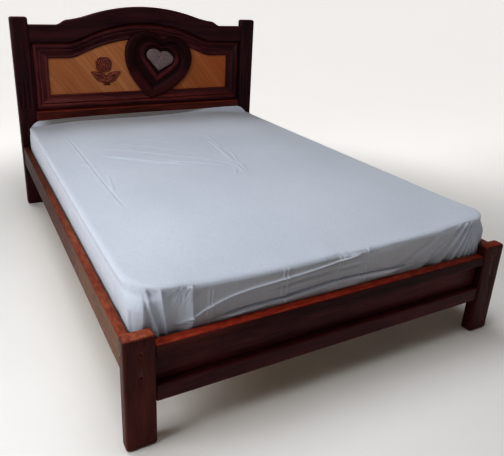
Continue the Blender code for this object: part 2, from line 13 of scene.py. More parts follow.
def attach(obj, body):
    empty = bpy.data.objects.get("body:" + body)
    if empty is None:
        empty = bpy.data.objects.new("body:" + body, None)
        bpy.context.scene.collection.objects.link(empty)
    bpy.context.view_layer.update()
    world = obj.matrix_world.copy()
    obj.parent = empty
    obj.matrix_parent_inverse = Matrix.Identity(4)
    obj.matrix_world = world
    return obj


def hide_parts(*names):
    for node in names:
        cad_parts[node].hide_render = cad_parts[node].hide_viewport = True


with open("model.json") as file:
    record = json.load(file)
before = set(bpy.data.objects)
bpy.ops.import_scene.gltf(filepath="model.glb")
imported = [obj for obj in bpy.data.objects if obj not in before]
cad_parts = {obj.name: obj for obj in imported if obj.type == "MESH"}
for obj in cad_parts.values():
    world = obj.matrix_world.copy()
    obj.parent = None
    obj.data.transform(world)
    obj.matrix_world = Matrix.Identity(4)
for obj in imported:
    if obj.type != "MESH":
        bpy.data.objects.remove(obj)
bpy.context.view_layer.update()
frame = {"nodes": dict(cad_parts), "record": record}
NODES = frame["nodes"]
SCENE = bpy.context.scene

# ---------------------------------------------------------------- camera and studio
EYE = Vector((-1.0266, -2.1509, 1.2184))
YAW, PITCH, ROLL = math.radians(28.042), math.radians(20.375), math.radians(2.283)
FOCAL, CENTRE_X, CENTRE_Y, WIDE, HIGH = 530.612, 234.18, 189.47, 504, 456

forward = Vector((math.sin(YAW) * math.cos(PITCH), math.cos(YAW) * math.cos(PITCH), -math.sin(PITCH)))
level = Vector((math.cos(YAW), -math.sin(YAW), 0))
upright = level.cross(forward)
right = level * math.cos(ROLL) + upright * math.sin(ROLL)
up = -level * math.sin(ROLL) + upright * math.cos(ROLL)
camera = bpy.data.objects.new("camera", bpy.data.cameras.new("camera"))
camera.matrix_world = Matrix(
    (
        (right.x, up.x, -forward.x, EYE.x),
        (right.y, up.y, -forward.y, EYE.y),
        (right.z, up.z, -forward.z, EYE.z),
        (0, 0, 0, 1),
    )
)
camera.data.sensor_width = 36
camera.data.lens = FOCAL / WIDE * 36
camera.data.shift_x = (WIDE / 2 - CENTRE_X) / WIDE
camera.data.shift_y = (CENTRE_Y - HIGH / 2) / WIDE
camera.data.clip_end = 600
SCENE.collection.objects.link(camera)
SCENE.camera = camera
SCENE.view_settings.view_transform = "Standard"
SCENE.view_settings.look = "Medium High Contrast"


def area_light(name, at, aim, size, power, colour=(1, 1, 1)):
    lamp = bpy.data.lights.new(name, "AREA")
    lamp.shape = "RECTANGLE"
    lamp.size, lamp.size_y = size
    lamp.energy = power
    lamp.color = colour
    ob = bpy.data.objects.new(name, lamp)
    ob.location = at
    ob.rotation_euler = (Vector(aim) - Vector(at)).to_track_quat("-Z", "Y").to_euler()
    SCENE.collection.objects.link(ob)
    return ob


area_light("side_softbox", (-2.5, -0.9, 1.75), (-0.45, -0.45, 0.40), (1.3, 1.2), 33, (0.96, 0.98, 1.0))
area_light("top_softbox", (-0.27, -0.85, 3.00), (0.05, -0.53, 0.40), (1.7, 1.2), 24.8, (0.96, 0.985, 1.0))
lamp = bpy.data.lights.new("skylight", "SUN")
lamp.energy = 0.88
lamp.angle = math.radians(24)
lamp.color = (0.95, 0.98, 1.0)
skylight = bpy.data.objects.new("skylight", lamp)
skylight.rotation_euler = Vector((0.14, -0.42, -0.90)).to_track_quat("-Z", "Y").to_euler()
SCENE.collection.objects.link(skylight)

world = bpy.data.worlds.new("studio")
SCENE.world = world
world.use_nodes = True
world.node_tree.nodes["Background"].inputs["Color"].default_value = (1.0, 0.78, 0.61, 1)
world.node_tree.nodes["Background"].inputs["Strength"].default_value = 0.065


# ---------------------------------------------------------------- node materials
class Shader:
    """One Principled material and short names for the nodes that feed it."""

    def __init__(self, name):
        self.material = bpy.data.materials.new(name)
        self.material.use_nodes = True
        self.tree = self.material.node_tree
        self.bsdf = self.tree.nodes["Principled BSDF"]
        self.at = self.node("ShaderNodeTexCoord").outputs["Object"]

    def node(self, kind, **settings):
        n = self.tree.nodes.new(kind)
        for key, value in settings.items():
            setattr(n, key, value)
        return n

    def put(self, socket, value):
        if hasattr(value, "is_output"):
            self.tree.links.new(value, socket)
        elif hasattr(socket, "default_value"):
            if hasattr(socket.default_value, "__len__") and len(socket.default_value) == 4 and len(value) == 3:
                value = (*value, 1)
            socket.default_value = value

    def math(self, operation, a, b=0.0, c=0.0, clamp=False):
        n = self.node("ShaderNodeMath", operation=operation, use_clamp=clamp)
        for socket, value in zip(n.inputs, (a, b, c)):
            self.put(socket, value)
        return n.outputs[0]

    def vector(self, operation, a, b=(0, 0, 0)):
        n = self.node("ShaderNodeVectorMath", operation=operation)
        self.put(n.inputs[0], a)
        if operation == "SCALE":
            self.put(n.inputs["Scale"], b)
        else:
            self.put(n.inputs[1], b)
        return n.outputs["Value" if operation in ("DOT_PRODUCT", "LENGTH", "DISTANCE") else "Vector"]

    def split(self, v):
        return self.node_out("ShaderNodeSeparateXYZ", v)

    def node_out(self, kind, value):
        n = self.node(kind)
        self.put(n.inputs[0], value)
        return n.outputs

    def join(self, x, y, z):
        n = self.node("ShaderNodeCombineXYZ")
        for socket, value in zip(n.inputs, (x, y, z)):
            self.put(socket, value)
        return n.outputs[0]

    def noise(self, at, scale=1.0, detail=4.0, rough=0.55, distortion=0.0):
        n = self.node("ShaderNodeTexNoise")
        self.put(n.inputs["Vector"], at)
        self.put(n.inputs["Scale"], scale)
        self.put(n.inputs["Detail"], detail)
        self.put(n.inputs["Roughness"], rough)
        self.put(n.inputs["Distortion"], distortion)
        return n.outputs[0]

    def cells(self, at, scale, feature="F1", out="Distance", randomness=1.0):
        n = self.node("ShaderNodeTexVoronoi", feature=feature)
        self.put(n.inputs["Vector"], at)
        self.put(n.inputs["Scale"], scale)
        self.put(n.inputs["Randomness"], randomness)
        return n.outputs[out]

    def chance(self, value):
        n = self.node("ShaderNodeTexWhiteNoise", noise_dimensions="1D")
        self.put(n.inputs["W"], value)
        return n.outputs["Value"]

    def span(self, value, a, b, c=0.0, d=1.0, smooth=False):
        n = self.node("ShaderNodeMapRange", clamp=True)
        n.interpolation_type = "SMOOTHSTEP" if smooth else "LINEAR"
        for socket, v in zip(n.inputs, (value, a, b, c, d)):
            self.put(socket, v)
        return n.outputs[0]

    def ramp(self, value, *stops):
        n = self.node("ShaderNodeValToRGB")
        marks = n.color_ramp.elements
        while len(marks) < len(stops):
            marks.new(0.5)
        for mark, (place, colour) in zip(marks, stops):
            mark.position = place
            mark.color = (*colour, 1)
        self.put(n.inputs[0], value)
        return n.outputs[0]

    def mix(self, share, a, b, blend="MIX"):
        n = self.node("ShaderNodeMix", data_type="RGBA", blend_type=blend, clamp_factor=True)
        self.put(n.inputs[0], share)
        self.put(n.inputs[6], a)
        self.put(n.inputs[7], b)
        return n.outputs[2]

    def bump(self, height, strength, distance, normal=None):
        n = self.node("ShaderNodeBump")
        self.put(n.inputs["Strength"], strength)
        self.put(n.inputs["Distance"], distance)
        self.put(n.inputs["Height"], height)
        if normal is not None:
            self.put(n.inputs["Normal"], normal)
        return n.outputs[0]

    def edges(self, radius):
        """Rounded normals near sharp edges, and how much they turn there."""
        n = self.node("ShaderNodeBevel", samples=4)
        self.put(n.inputs["Radius"], radius)
        true = self.node("ShaderNodeNewGeometry").outputs["True Normal"]
        turn = self.math("SUBTRACT", 1.0, self.vector("DOT_PRODUCT", n.outputs[0], true))
        return n.outputs[0], turn

    def set(self, **inputs):
        for name, value in inputs.items():
            self.put(self.bsdf.inputs[name.replace("_", " ")], value)
        return self.material


def along(axis, long, across):
    """Texture scale for grain that runs along an axis."""
    return tuple(long if k == axis else across for k in range(3))


def stained_wood(name, axis, lift=1.0, figure=0.35, wear_and_painted_light=0.5, top_light=0.75, gold=1.0, violet=1.0, gloss=0.09, painted_light_tones=(), painted_side_light_stops=()):
    """Dark red-brown hardwood under satin lacquer, with its grain along one axis (0 X, 1 Y, 2 Z). Along that axis it
    may carry painted light, a tone lighter at the lit end, and upright outer faces painted lighter, each as (place,
    amount) stops from -1 to 1 m."""
    s = Shader(name)
    drift = s.vector("SCALE", s.node_noise_colour(s.at, 2.2), 0.05)
    at = s.vector("ADD", s.at, drift)
    broad = s.noise(s.vector("MULTIPLY", at, along(axis, 1.6, 24)), 1.0, 5, 0.6, 0.4)
    fine = s.noise(s.vector("MULTIPLY", at, along(axis, 7, 170)), 1.0, 3, 0.6)
    pores = s.noise(s.vector("MULTIPLY", s.at, along(axis, 22, 620)), 1.0, 2, 0.6)
    cloud = s.noise(s.at, 3.1, 3, 0.5)
    dark, mid, light = (tuple(lift * k for k in c) for c in ((0.017, 0.0034, 0.0036), (0.060, 0.0112, 0.0090), (0.125, 0.026, 0.0175)))
    dark, mid, light = ((r, g, b * violet) for r, g, b in (dark, mid, light))
    colour = s.ramp(broad, (0.28, dark), (0.50, mid), (0.74, light))
    colour = s.mix(s.span(fine, 0.42, 0.66, 0.0, figure), colour, tuple(1.5 * k for k in light))
    colour = s.mix(s.span(pores, 0.52, 0.75, 0.0, 0.55), colour, dark)
    colour = s.mix(s.span(cloud, 0.30, 0.70, 0.0, 0.45), colour, dark)
    normal, turn = s.edges(0.004)
    wear = s.math("MULTIPLY", s.span(turn, 0.02, 0.25, 0.0, wear_and_painted_light), s.span(s.noise(s.at, 16, 4, 0.65), 0.35, 0.65))
    colour = s.mix(wear, colour, (0.20 * lift, 0.052 * lift, 0.030 * lift))
    # painted light: upper faces are painted lighter and tan, as if lit from above
    _, _, rise = s.split(s.node("ShaderNodeNewGeometry").outputs["True Normal"])[:3]
    painted_top_light = s.math("MULTIPLY", s.span(rise, 0.55, 0.95, 0.0, top_light), s.span(broad, 0.25, 0.70, 0.45, 1.0))
    mottle = s.noise(s.vector("MULTIPLY", s.at, along(axis, 30, 75)), 1.0, 4, 0.65)
    tan = s.ramp(
        mottle,
        (0.30, (0.19 * lift, 0.026 * lift * gold, 0.013 * lift * gold)),
        (0.52, (0.37 * lift, 0.057 * lift * gold, 0.026 * lift * gold)),
        (0.72, (0.48 * lift, 0.110 * lift * gold, 0.050 * lift * gold)),
    )
    colour = s.mix(painted_top_light, colour, tan)
    place = s.span(s.split(s.at)[axis], -1.0, 1.0, 0.0, 1.0)
    # painted light: upright outer faces are painted lighter and yellower towards the lit end
    if painted_side_light_stops:
        upright = s.span(rise, 0.30, 0.60, 1.0, 0.0)
        amount = s.ramp(place, *((0.5 + 0.5 * y, (k, k, k)) for y, k in painted_side_light_stops))
        painted_side_light = s.math("MULTIPLY", s.math("MULTIPLY", upright, amount), s.span(fine, 0.30, 0.70, 0.75, 1.15))
        colour = s.mix(painted_side_light, colour, (0.235, 0.122, 0.064))
    # painted light: the tone along the axis paints the lit end lighter and the shaded end darker
    if painted_light_tones:
        tone = s.ramp(place, *((0.5 + 0.5 * y, tuple(0.5 * k for k in c)) for y, c in painted_light_tones))
        colour = s.mix(1.0, colour, s.vector("SCALE", tone, 2.0), "MULTIPLY")
    rough = s.span(s.noise(s.at, 38, 3), 0.2, 0.8, 0.34, 0.50)
    rough = s.math("ADD", rough, s.span(pores, 0.5, 0.8, 0.0, 0.14))
    height = s.math("ADD", s.math("MULTIPLY", fine, 0.6), s.math("MULTIPLY", pores, -0.5))
    return s.set(
        Base_Color=colour,
        Roughness=rough,
        Normal=s.bump(height, 0.35, 0.0004, normal),
        Specular_IOR_Level=gloss,
        Coat_Weight=gloss / 4.5,
        Coat_Roughness=0.2,
    )


def colour_noise(self, at, scale):
    n = self.node("ShaderNodeTexNoise")
    self.put(n.inputs["Vector"], at)
    self.put(n.inputs["Scale"], scale)
    self.put(n.inputs["Detail"], 2.0)
    return self.vector("SUBTRACT", n.outputs["Color"], (0.5, 0.5, 0.5))


Shader.node_noise_colour = colour_noise


def strip_veneer(name):
    """Honey veneer laid in slanting strips, each with its own tone and grain."""
    s = Shader(name)
    x, _, z = s.split(s.at)[:3]
    lean = math.radians(52)
    across = s.math("ADD", s.math("MULTIPLY", x, math.sin(lean)), s.math("MULTIPLY", z, math.cos(lean)))
    down = s.math("SUBTRACT", s.math("MULTIPLY", x, math.cos(lean)), s.math("MULTIPLY", z, math.sin(lean)))
    across = s.math("ADD", across, s.math("MULTIPLY", s.math("SUBTRACT", s.noise(s.at, 5, 1), 0.5), 0.004))
    count = s.math("DIVIDE", across, 0.027)
    strip = s.math("FLOOR", count)
    place = s.math("SUBTRACT", count, strip)
    tone = s.chance(strip)
    shift = s.math("MULTIPLY", s.chance(s.math("ADD", strip, 31.7)), 9.0)
    grain_at = s.join(s.math("MULTIPLY", across, 150), s.math("ADD", s.math("MULTIPLY", down, 5), shift), shift)
    grain = s.noise(grain_at, 1.0, 5, 0.62, 0.6)
    fleck = s.noise(s.join(s.math("MULTIPLY", across, 620), s.math("MULTIPLY", down, 30), shift), 1.0, 2, 0.6)
    colour = s.ramp(grain, (0.25, (0.235, 0.076, 0.024)), (0.52, (0.305, 0.107, 0.037)), (0.80, (0.375, 0.145, 0.057)))
    colour = s.mix(s.span(tone, 0.0, 1.0, 0.0, 0.30), colour, (0.225, 0.071, 0.022))
    colour = s.mix(s.span(s.chance(s.math("ADD", strip, 7.3)), 0.6, 1.0, 0.0, 0.35), colour, (0.40, 0.170, 0.076))
    colour = s.mix(s.span(fleck, 0.55, 0.8, 0.0, 0.4), colour, (0.140, 0.048, 0.016))
    colour = s.mix(s.span(x, 0.05, 0.50, 0.0, 0.75), colour, s.mix(1.0, colour, (1.03, 0.73, 0.44), "MULTIPLY"))
    pale = s.math("MULTIPLY", s.span(x, -0.46, -0.16, 0.0, 1.0), s.span(x, 0.0, 0.10, 1.0, 0.0))
    colour = s.mix(pale, colour, s.mix(1.0, colour, (1.17, 1.27, 1.30), "MULTIPLY"))
    gap = s.math("MINIMUM", place, s.math("SUBTRACT", 1.0, place))
    joint = s.span(gap, 0.012, 0.055, 1.0, 0.0)
    colour = s.mix(s.math("MULTIPLY", joint, 0.42), colour, (0.080, 0.026, 0.010))
    height = s.math("SUBTRACT", s.math("MULTIPLY", grain, 0.25), joint)
    return s.set(
        Base_Color=colour,
        Roughness=s.span(grain, 0.2, 0.8, 0.34, 0.48),
        Normal=s.bump(height, 0.5, 0.0006),
        Specular_IOR_Level=0.16,
        Coat_Weight=0.03,
        Coat_Roughness=0.25,
    )


def carved_wood(name, dark, mid, light, ridge, gloss, coat):
    """Carved and stained wood: painted shade darkens the hollows, with small tool marks; a mesh may mark a redder,
    paler ridge, partly edge wear and partly painted light.
    """
    s = Shader(name)
    tool = s.noise(s.vector("MULTIPLY", s.at, (1, 0.4, 1)), 75, 3, 0.6)
    grain = s.noise(s.vector("MULTIPLY", s.at, (16, 180, 180)), 1.0, 4, 0.6)
    # painted shade: occlusion darkens the hollows
    n = s.node("ShaderNodeAmbientOcclusion", samples=6)
    s.put(n.inputs["Distance"], 0.012)
    painted_hollow_shade = s.span(n.outputs["AO"], 0.45, 0.95, 1.0, 0.0)
    normal, turn = s.edges(0.002)
    colour = s.ramp(grain, (0.3, dark), (0.55, mid), (0.8, light))
    colour = s.mix(s.span(tool, 0.45, 0.75, 0.0, 0.4), colour, light)
    # the ridge mark: partly edge wear, partly painted light
    mark = s.node("ShaderNodeAttribute", attribute_name="ridge").outputs["Fac"]
    colour = s.mix(s.math("MULTIPLY", mark, s.span(tool, 0.3, 0.6, 0.6, 1.0)), colour, ridge)
    colour = s.mix(s.math("MULTIPLY", painted_hollow_shade, 0.85), colour, tuple(0.4 * k for k in dark))
    return s.set(
        Base_Color=colour,
        Roughness=s.span(tool, 0.2, 0.8, 0.30, 0.50),
        Normal=s.bump(s.math("ADD", tool, s.math("MULTIPLY", grain, 0.4)), 0.35, 0.0007, normal),
        Specular_IOR_Level=gloss,
        Coat_Weight=coat,
        Coat_Roughness=0.25,
    )


def raw_wood(name, axis):
    """Planed pale softwood: soft growth rings along the board, and a few knots."""
    s = Shader(name)
    drift = s.vector("SCALE", s.node_noise_colour(s.at, 3.0), 0.035)
    at = s.vector("ADD", s.at, drift)
    rings = s.noise(s.vector("MULTIPLY", at, along(axis, 0.9, 46)), 1.0, 3, 0.5, 0.3)
    fine = s.noise(s.vector("MULTIPLY", at, along(axis, 9, 300)), 1.0, 3, 0.6)
    knot_at = s.vector("MULTIPLY", at, along(axis, 2.4, 9.5))
    knot = s.cells(knot_at, 1.0)
    core = s.span(knot, 0.05, 0.13, 1.0, 0.0, True)
    colour = s.ramp(rings, (0.30, (0.52, 0.33, 0.155)), (0.50, (0.66, 0.46, 0.25)), (0.66, (0.58, 0.38, 0.19)), (0.82, (0.43, 0.25, 0.105)))
    colour = s.mix(s.span(fine, 0.45, 0.75, 0.0, 0.35), colour, (0.40, 0.24, 0.11))
    colour = s.mix(s.math("MULTIPLY", core, 0.8), colour, (0.16, 0.075, 0.03))
    normal, turn = s.edges(0.003)
    colour = s.mix(s.span(turn, 0.03, 0.3, 0.0, 0.35), colour, (0.70, 0.52, 0.31))
    height = s.math("ADD", s.math("MULTIPLY", rings, 0.5), fine)
    return s.set(
        Base_Color=colour,
        Roughness=s.span(fine, 0.2, 0.8, 0.58, 0.76),
        Normal=s.bump(height, 0.3, 0.0005, normal),
    )


def steel(name):
    s = Shader(name)
    spot = s.noise(s.at, 420, 4, 0.65)
    film = s.noise(s.at, 70, 3)
    colour = s.ramp(spot, (0.3, (0.045, 0.043, 0.042)), (0.7, (0.13, 0.128, 0.125)))
    colour = s.mix(s.span(film, 0.55, 0.8, 0.0, 0.5), colour, (0.10, 0.055, 0.03))
    normal, turn = s.edges(0.0008)
    return s.set(
        Base_Color=colour,
        Metallic=1.0,
        Roughness=s.span(spot, 0.2, 0.8, 0.28, 0.52),
        Normal=s.bump(spot, 0.2, 0.0002, normal),
    )


def silver(name):
    """Dull silver paint on stippled wood; painted shade darkens the pits."""
    s = Shader(name)
    pit = s.cells(s.at, 190)
    blot = s.noise(s.at, 60, 3, 0.6)
    # painted shade: occlusion darkens the pits
    n = s.node("ShaderNodeAmbientOcclusion", samples=6)
    s.put(n.inputs["Distance"], 0.006)
    painted_hollow_shade = s.span(n.outputs["AO"], 0.55, 0.98, 1.0, 0.0)
    grain = s.noise(s.at, 210, 2, 0.6)
    colour = s.ramp(blot, (0.25, (0.135, 0.096, 0.091)), (0.75, (0.215, 0.160, 0.154)))
    colour = s.mix(s.span(grain, 0.50, 0.64, 0.0, 0.75), colour, (0.062, 0.040, 0.038))
    colour = s.mix(s.span(grain, 0.34, 0.46, 0.65, 0.0), colour, (0.335, 0.262, 0.262))
    colour = s.mix(s.math("MULTIPLY", painted_hollow_shade, 0.8), colour, (0.075, 0.056, 0.052))
    return s.set(
        Base_Color=colour,
        Metallic=0.45,
        Roughness=s.span(blot, 0.2, 0.8, 0.42, 0.60),
        Normal=s.bump(pit, 0.5, 0.0010),
    )


def cotton(name, colour_a, colour_b, pitch=0.0011, fuzz=0.25):
    """Plain-woven cotton: crossing threads, small slubs and a soft sheen."""
    s = Shader(name)
    x, y, z = s.split(s.at)[:3]
    turn = 2 * math.pi / pitch
    warp = s.math("SINE", s.math("MULTIPLY", s.math("ADD", x, s.math("MULTIPLY", z, 0.5)), turn))
    weft = s.math("SINE", s.math("MULTIPLY", s.math("ADD", y, z), turn))
    weave = s.math("MULTIPLY", s.math("ADD", warp, weft), 0.25)
    slub_x = s.noise(s.vector("MULTIPLY", s.at, (14, 520, 520)), 1.0, 3, 0.6)
    slub_y = s.noise(s.vector("MULTIPLY", s.at, (520, 14, 200)), 1.0, 3, 0.6)
    slub_z = s.noise(s.vector("MULTIPLY", s.at, (430, 430, 9)), 1.0, 3, 0.6)
    cloud = s.noise(s.at, 2.6, 4, 0.55)
    crumple = s.noise(s.at, 26, 5, 0.6, 0.3)
    colour = s.mix(s.span(cloud, 0.3, 0.7), colour_a, colour_b)
    slub = s.math("MAXIMUM", s.math("MAXIMUM", slub_x, slub_y), slub_z)
    colour = s.mix(s.span(slub, 0.62, 0.85, 0.0, 0.35), colour, tuple(0.72 * k for k in colour_a))
    colour = s.mix(s.span(s.noise(s.vector("MULTIPLY", s.at, (150, 150, 5)), 1.0, 3, 0.6), 0.45, 0.75, 0.0, 0.30), colour, tuple(0.74 * k for k in colour_a))
    colour = s.mix(s.span(weave, -0.5, 0.5, 0.14, 0.0), colour, tuple(0.6 * k for k in colour_a))
    # painted shade: the mesh attribute darkens and warms the cloth where it lies in shade
    painted_shade = s.node("ShaderNodeAttribute", attribute_name="painted_shade").outputs["Fac"]
    colour = s.mix(painted_shade, colour, s.mix(1.0, colour, (0.74, 0.69, 0.65), "MULTIPLY"))
    # painted shade: the band along the head is painted a darker taupe
    band = s.node("ShaderNodeAttribute", attribute_name="band").outputs["Fac"]
    colour = s.mix(band, colour, s.mix(0.35, (0.205, 0.190, 0.180), colour, "MULTIPLY"))
    cloth = s.math("ADD", s.math("MULTIPLY", weave, 0.35), s.math("MULTIPLY", slub, 0.5))
    normal = s.bump(crumple, 0.16, 0.006)
    return s.set(
        Base_Color=colour,
        Roughness=s.span(slub, 0.3, 0.9, 0.74, 0.90),
        Sheen_Weight=fuzz,
        Sheen_Roughness=0.5,
        Normal=s.bump(cloth, 0.30, 0.0006, normal),
    )


def studio_floor(name):
    s = Shader(name)
    blot = s.noise(s.at, 1.3, 4, 0.5)
    grit = s.noise(s.at, 90, 3, 0.6)
    colour = s.mix(s.span(blot, 0.3, 0.7), (0.80, 0.785, 0.765), (0.835, 0.82, 0.80))
    # painted light: the floor glows, from about a metre out behind the bed and more from 4 m away, less again very far
    # out
    x, y, _ = s.split(s.at)
    away = s.vector("LENGTH", s.at)
    behind = s.math("MULTIPLY", s.span(away, 1.1, 2.6, 0.0, 1.0, True), s.span(y, -1.3, 1.2, 0.0, 0.46, True))
    far = s.math("SUBTRACT", s.span(away, 4.0, 9.0, 0.0, 0.36, True), s.span(away, 60.0, 110.0, 0.0, 0.24, True))
    return s.set(
        Base_Color=colour,
        Roughness=s.span(grit, 0.2, 0.8, 0.62, 0.78),
        Normal=s.bump(grit, 0.05, 0.0006),
        Emission_Color=(1.0, 0.985, 0.965),
        Emission_Strength=s.math("MAXIMUM", behind, far),
    )


WOOD = {k: stained_wood(f"stained_wood_{'xyz'[k]}", k) for k in range(3)}
# painted shade: darker copies of the stained wood for the headboard's crest and posts, whose front lies in shade
PAINTED_SHADE_WOOD = {k: stained_wood(f"painted_shade_wood_{'xyz'[k]}", k, 0.42, 0.30, 0.45, 0.75, 1.0, 1.7) for k in (0, 2)}
PAINTED_SHADE_HEAD_POST = stained_wood("painted_shade_head_post_wood_z", 2, 0.33, 0.30, 0.45, 0.75, 1.0, 1.9)
SHADED = stained_wood("shaded_wood_x", 0, 0.95, 0.30, 0.35, 0.12, 1.0, 1.5)
# painted light: the side rails are painted lighter and yellower towards the foot, where the light falls, and darker
# towards the head
SIDE = stained_wood(
    "side_wood_y", 1, 0.92, 0.35, 0.5, 0.42, 1.25, 1.0, 0.03,
    ((-0.95, (1.36, 1.72, 1.70)), (-0.20, (1.28, 1.75, 1.75)), (0.25, (0.74, 0.95, 0.80)), (0.90, (0.52, 0.66, 0.58))),
    ((-0.95, 0.28), (-0.55, 0.22), (-0.30, 0.06), (0.10, 0.0)),
)
# painted light: the foot rail is painted lighter at its left end, nearest the light, and its top strongly lit
RAIL = stained_wood(
    "rail_wood_x", 0, 0.70, 0.35, 0.5, 1.50, 0.70, 1.1, 0.07,
    ((-0.70, (1.30, 1.75, 1.70)), (-0.50, (1.14, 1.28, 1.30)), (-0.38, (0.94, 0.92, 0.95)), (0.0, (0.88, 0.92, 0.98)), (0.35, (0.66, 0.80, 0.95)), (0.70, (0.62, 0.85, 1.0))),
)
POST = stained_wood("post_wood_z", 2, 1.0, 0.35, 0.5, 0.8, 1.60)
# painted shade: a darker copy of the post wood for the right foot post, on the side away from the light
PAINTED_SHADE_FOOT_POST = stained_wood("painted_shade_foot_post_wood_z", 2, 0.70, 0.35, 0.4, 0.7, 0.9)
FIGURED = {k: stained_wood(f"figured_wood_{'xyz'[k]}", k, 0.85, 0.75, 0.35, 0.6, 1.0, 1.5) for k in (0, 2)}
# painted shade: a darker copy of the figured wood for the top and right mouldings, which lie in shade
PAINTED_SHADE_MOULDING = {k: stained_wood(f"painted_shade_moulding_wood_{'xyz'[k]}", k, 0.52, 0.60, 0.35, 0.5, 1.0, 1.6) for k in (0, 2)}
RAW = {k: raw_wood(f"raw_wood_{'xyz'[k]}", k) for k in range(3)}
STEEL = steel("dark_steel")
SILVER = silver("silver_paint")
HEART = carved_wood("carved_heart_wood", (0.0085, 0.0028, 0.0032), (0.018, 0.0048, 0.0055), (0.040, 0.0105, 0.0112), (0.085, 0.0165, 0.0185), 0.04, 0.0)
ROSE = carved_wood("carved_rose_wood", (0.011, 0.0014, 0.0011), (0.040, 0.0048, 0.0034), (0.108, 0.017, 0.011), (0.46, 0.132, 0.088), 0.08, 0.02)
PANEL = strip_veneer("strip_veneer")
COTTON = cotton("sheet_cotton_weave", (0.494, 0.540, 0.628), (0.539, 0.582, 0.663))
TICKING = cotton("ticking_weave", (0.70, 0.68, 0.63), (0.76, 0.745, 0.70), 0.0016, 0.15)
FLOOR = studio_floor("studio_floor_paint")

# ---------------------------------------------------------------- floor
# flat round the bed, and rising very gently far behind it
bm = bmesh.new()
rings = []
for radius in (4, 8, 12, 18, 26, 36, 50, 66, 84, 104, 122, 138):
    lift = 0.0011 * max(radius - 12, 0) ** 2 + 0.006 * max(radius - 84, 0) ** 2
    rings.append(
        [bm.verts.new((radius * math.cos(a), radius * math.sin(a), lift)) for a in np.linspace(0, 2 * math.pi, 97)[:-1]]
    )
bm.faces.new(rings[0])
for inner, outer in zip(rings[:-1], rings[1:]):
    for k in range(96):
        bm.faces.new((inner[k], outer[k], outer[(k + 1) % 96], inner[(k + 1) % 96]))
floor_mesh = bpy.data.meshes.new("studio_floor")
bm.to_mesh(floor_mesh)
bm.free()
floor_mesh.shade_smooth()
floor = bpy.data.objects.new("studio_floor", floor_mesh)
floor_mesh.materials.append(FLOOR)
floor.location = (0, 0, -0.0005)
SCENE.collection.objects.link(floor)

# ---------------------------------------------------------------- materials of the modelled pieces
GRAIN = {
    0: "head_ledge_rail head_cross_rail head_back_board",
}
for axis, names in GRAIN.items():
    for n in names.split():
        NODES[n].data.materials.clear()
        NODES[n].data.materials.append(WOOD[axis])
PLAIN = {
    "foot_post_left": POST,
    "foot_post_right": PAINTED_SHADE_FOOT_POST,
    "side_rail_left": SIDE,
    "side_rail_right": SIDE,
    "foot_top_rail": RAIL,
    "foot_bottom_rail": SHADED,
    "foot_panel": SHADED,
    "crest_rail": PAINTED_SHADE_WOOD[0],
    "head_post_left": PAINTED_SHADE_WOOD[2],
    "head_post_right": PAINTED_SHADE_HEAD_POST,
    "moulding_top": PAINTED_SHADE_MOULDING[0],
    "moulding_bottom": FIGURED[0],
    "moulding_left": FIGURED[2],
    "moulding_right": PAINTED_SHADE_MOULDING[2],
    "head_panel": PANEL,
    "ledger_left": RAW[1],
    "ledger_right": RAW[1],
    "centre_beam": RAW[1],
    "centre_leg": RAW[2],
    "beam_cleat_foot": RAW[0],
    "beam_cleat_head": RAW[0],
}
for n, ob in NODES.items():
    if n.startswith("slat_"):
        PLAIN[n] = RAW[0]
    elif n.startswith(("bed_bolt", "ledger_screw")):
        PLAIN[n] = STEEL
    elif n.startswith("foot_peg"):
        PLAIN[n] = WOOD[1]
for n, m in PLAIN.items():
    NODES[n].data.materials.clear()
    NODES[n].data.materials.append(m)
for n, ob in NODES.items():
    weld = ob.modifiers.new("weld", "WELD")
    weld.merge_threshold = 0.00001
    ob.modifiers.new("shade", "WEIGHTED_NORMAL")


# ---------------------------------------------------------------- helpers for new pieces
def smooth(t):
    t = np.clip(t, 0.0, 1.0)
    return t * t * (3 - 2 * t)


def new_piece(name, points, faces, material, body, slot, *nodes, shade=True):
    mesh = bpy.data.meshes.new(name)
    mesh.from_pydata([tuple(map(float, p)) for p in points], [], [tuple(map(int, f)) for f in faces])
    mesh.validate()
    if shade:
        mesh.shade_smooth()
    mesh.materials.append(material)
    ob = bpy.data.objects.new(name, mesh)
    SCENE.collection.objects.link(ob)
    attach(ob, body)
    if nodes:
        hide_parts(*nodes)
    return ob


def value_noise(p, scale, seed=0.0, octaves=3):
    """Soft noise from -1 to 1 at each row of p."""
    out = np.empty(len(p))
    for i, q in enumerate(p):
        out[i] = noise.fractal(Vector((q[0] * scale + seed, q[1] * scale - seed, q[2] * scale + 0.7 * seed)), 0.9, 2.0, octaves)
    return out


def through(points_, steps=10):
    """A smooth line through a few points, each a row of numbers."""
    p = np.array(points_, float)
    p = np.vstack([2 * p[0] - p[1], p, 2 * p[-1] - p[-2]])
    out = []
    for a, b, c, d in zip(p[:-3], p[1:-2], p[2:-1], p[3:]):
        for t in np.arange(steps) / steps:
            out.append(0.5 * (2 * b + (c - a) * t + (2 * a - 5 * b + 4 * c - d) * t**2 + (3 * b - a - 3 * c + d) * t**3))
    out.append(p[-2])
    return np.array(out)


def ringed(rings):
    """Faces of a closed form whose rings of points go from its back to the middle of its front."""
    n = len(rings[0])
    faces = [tuple(range(n))]
    for i in range(len(rings) - 1):
        for j in range(n):
            k = (j + 1) % n
            faces.append((i * n + j, (i + 1) * n + j, (i + 1) * n + k, i * n + k))
    faces.append(tuple(reversed(range((len(rings) - 1) * n, len(rings) * n))))
    return np.concatenate(rings), faces


# ---------------------------------------------------------------- heart carving
HEAD_Y = 0.971
MOULD_BACK = HEAD_Y + 0.0357
HEART_X, HEART_Z, HEART_W, HEART_LEAN = 0.096, 0.833, 0.428, math.radians(-13)


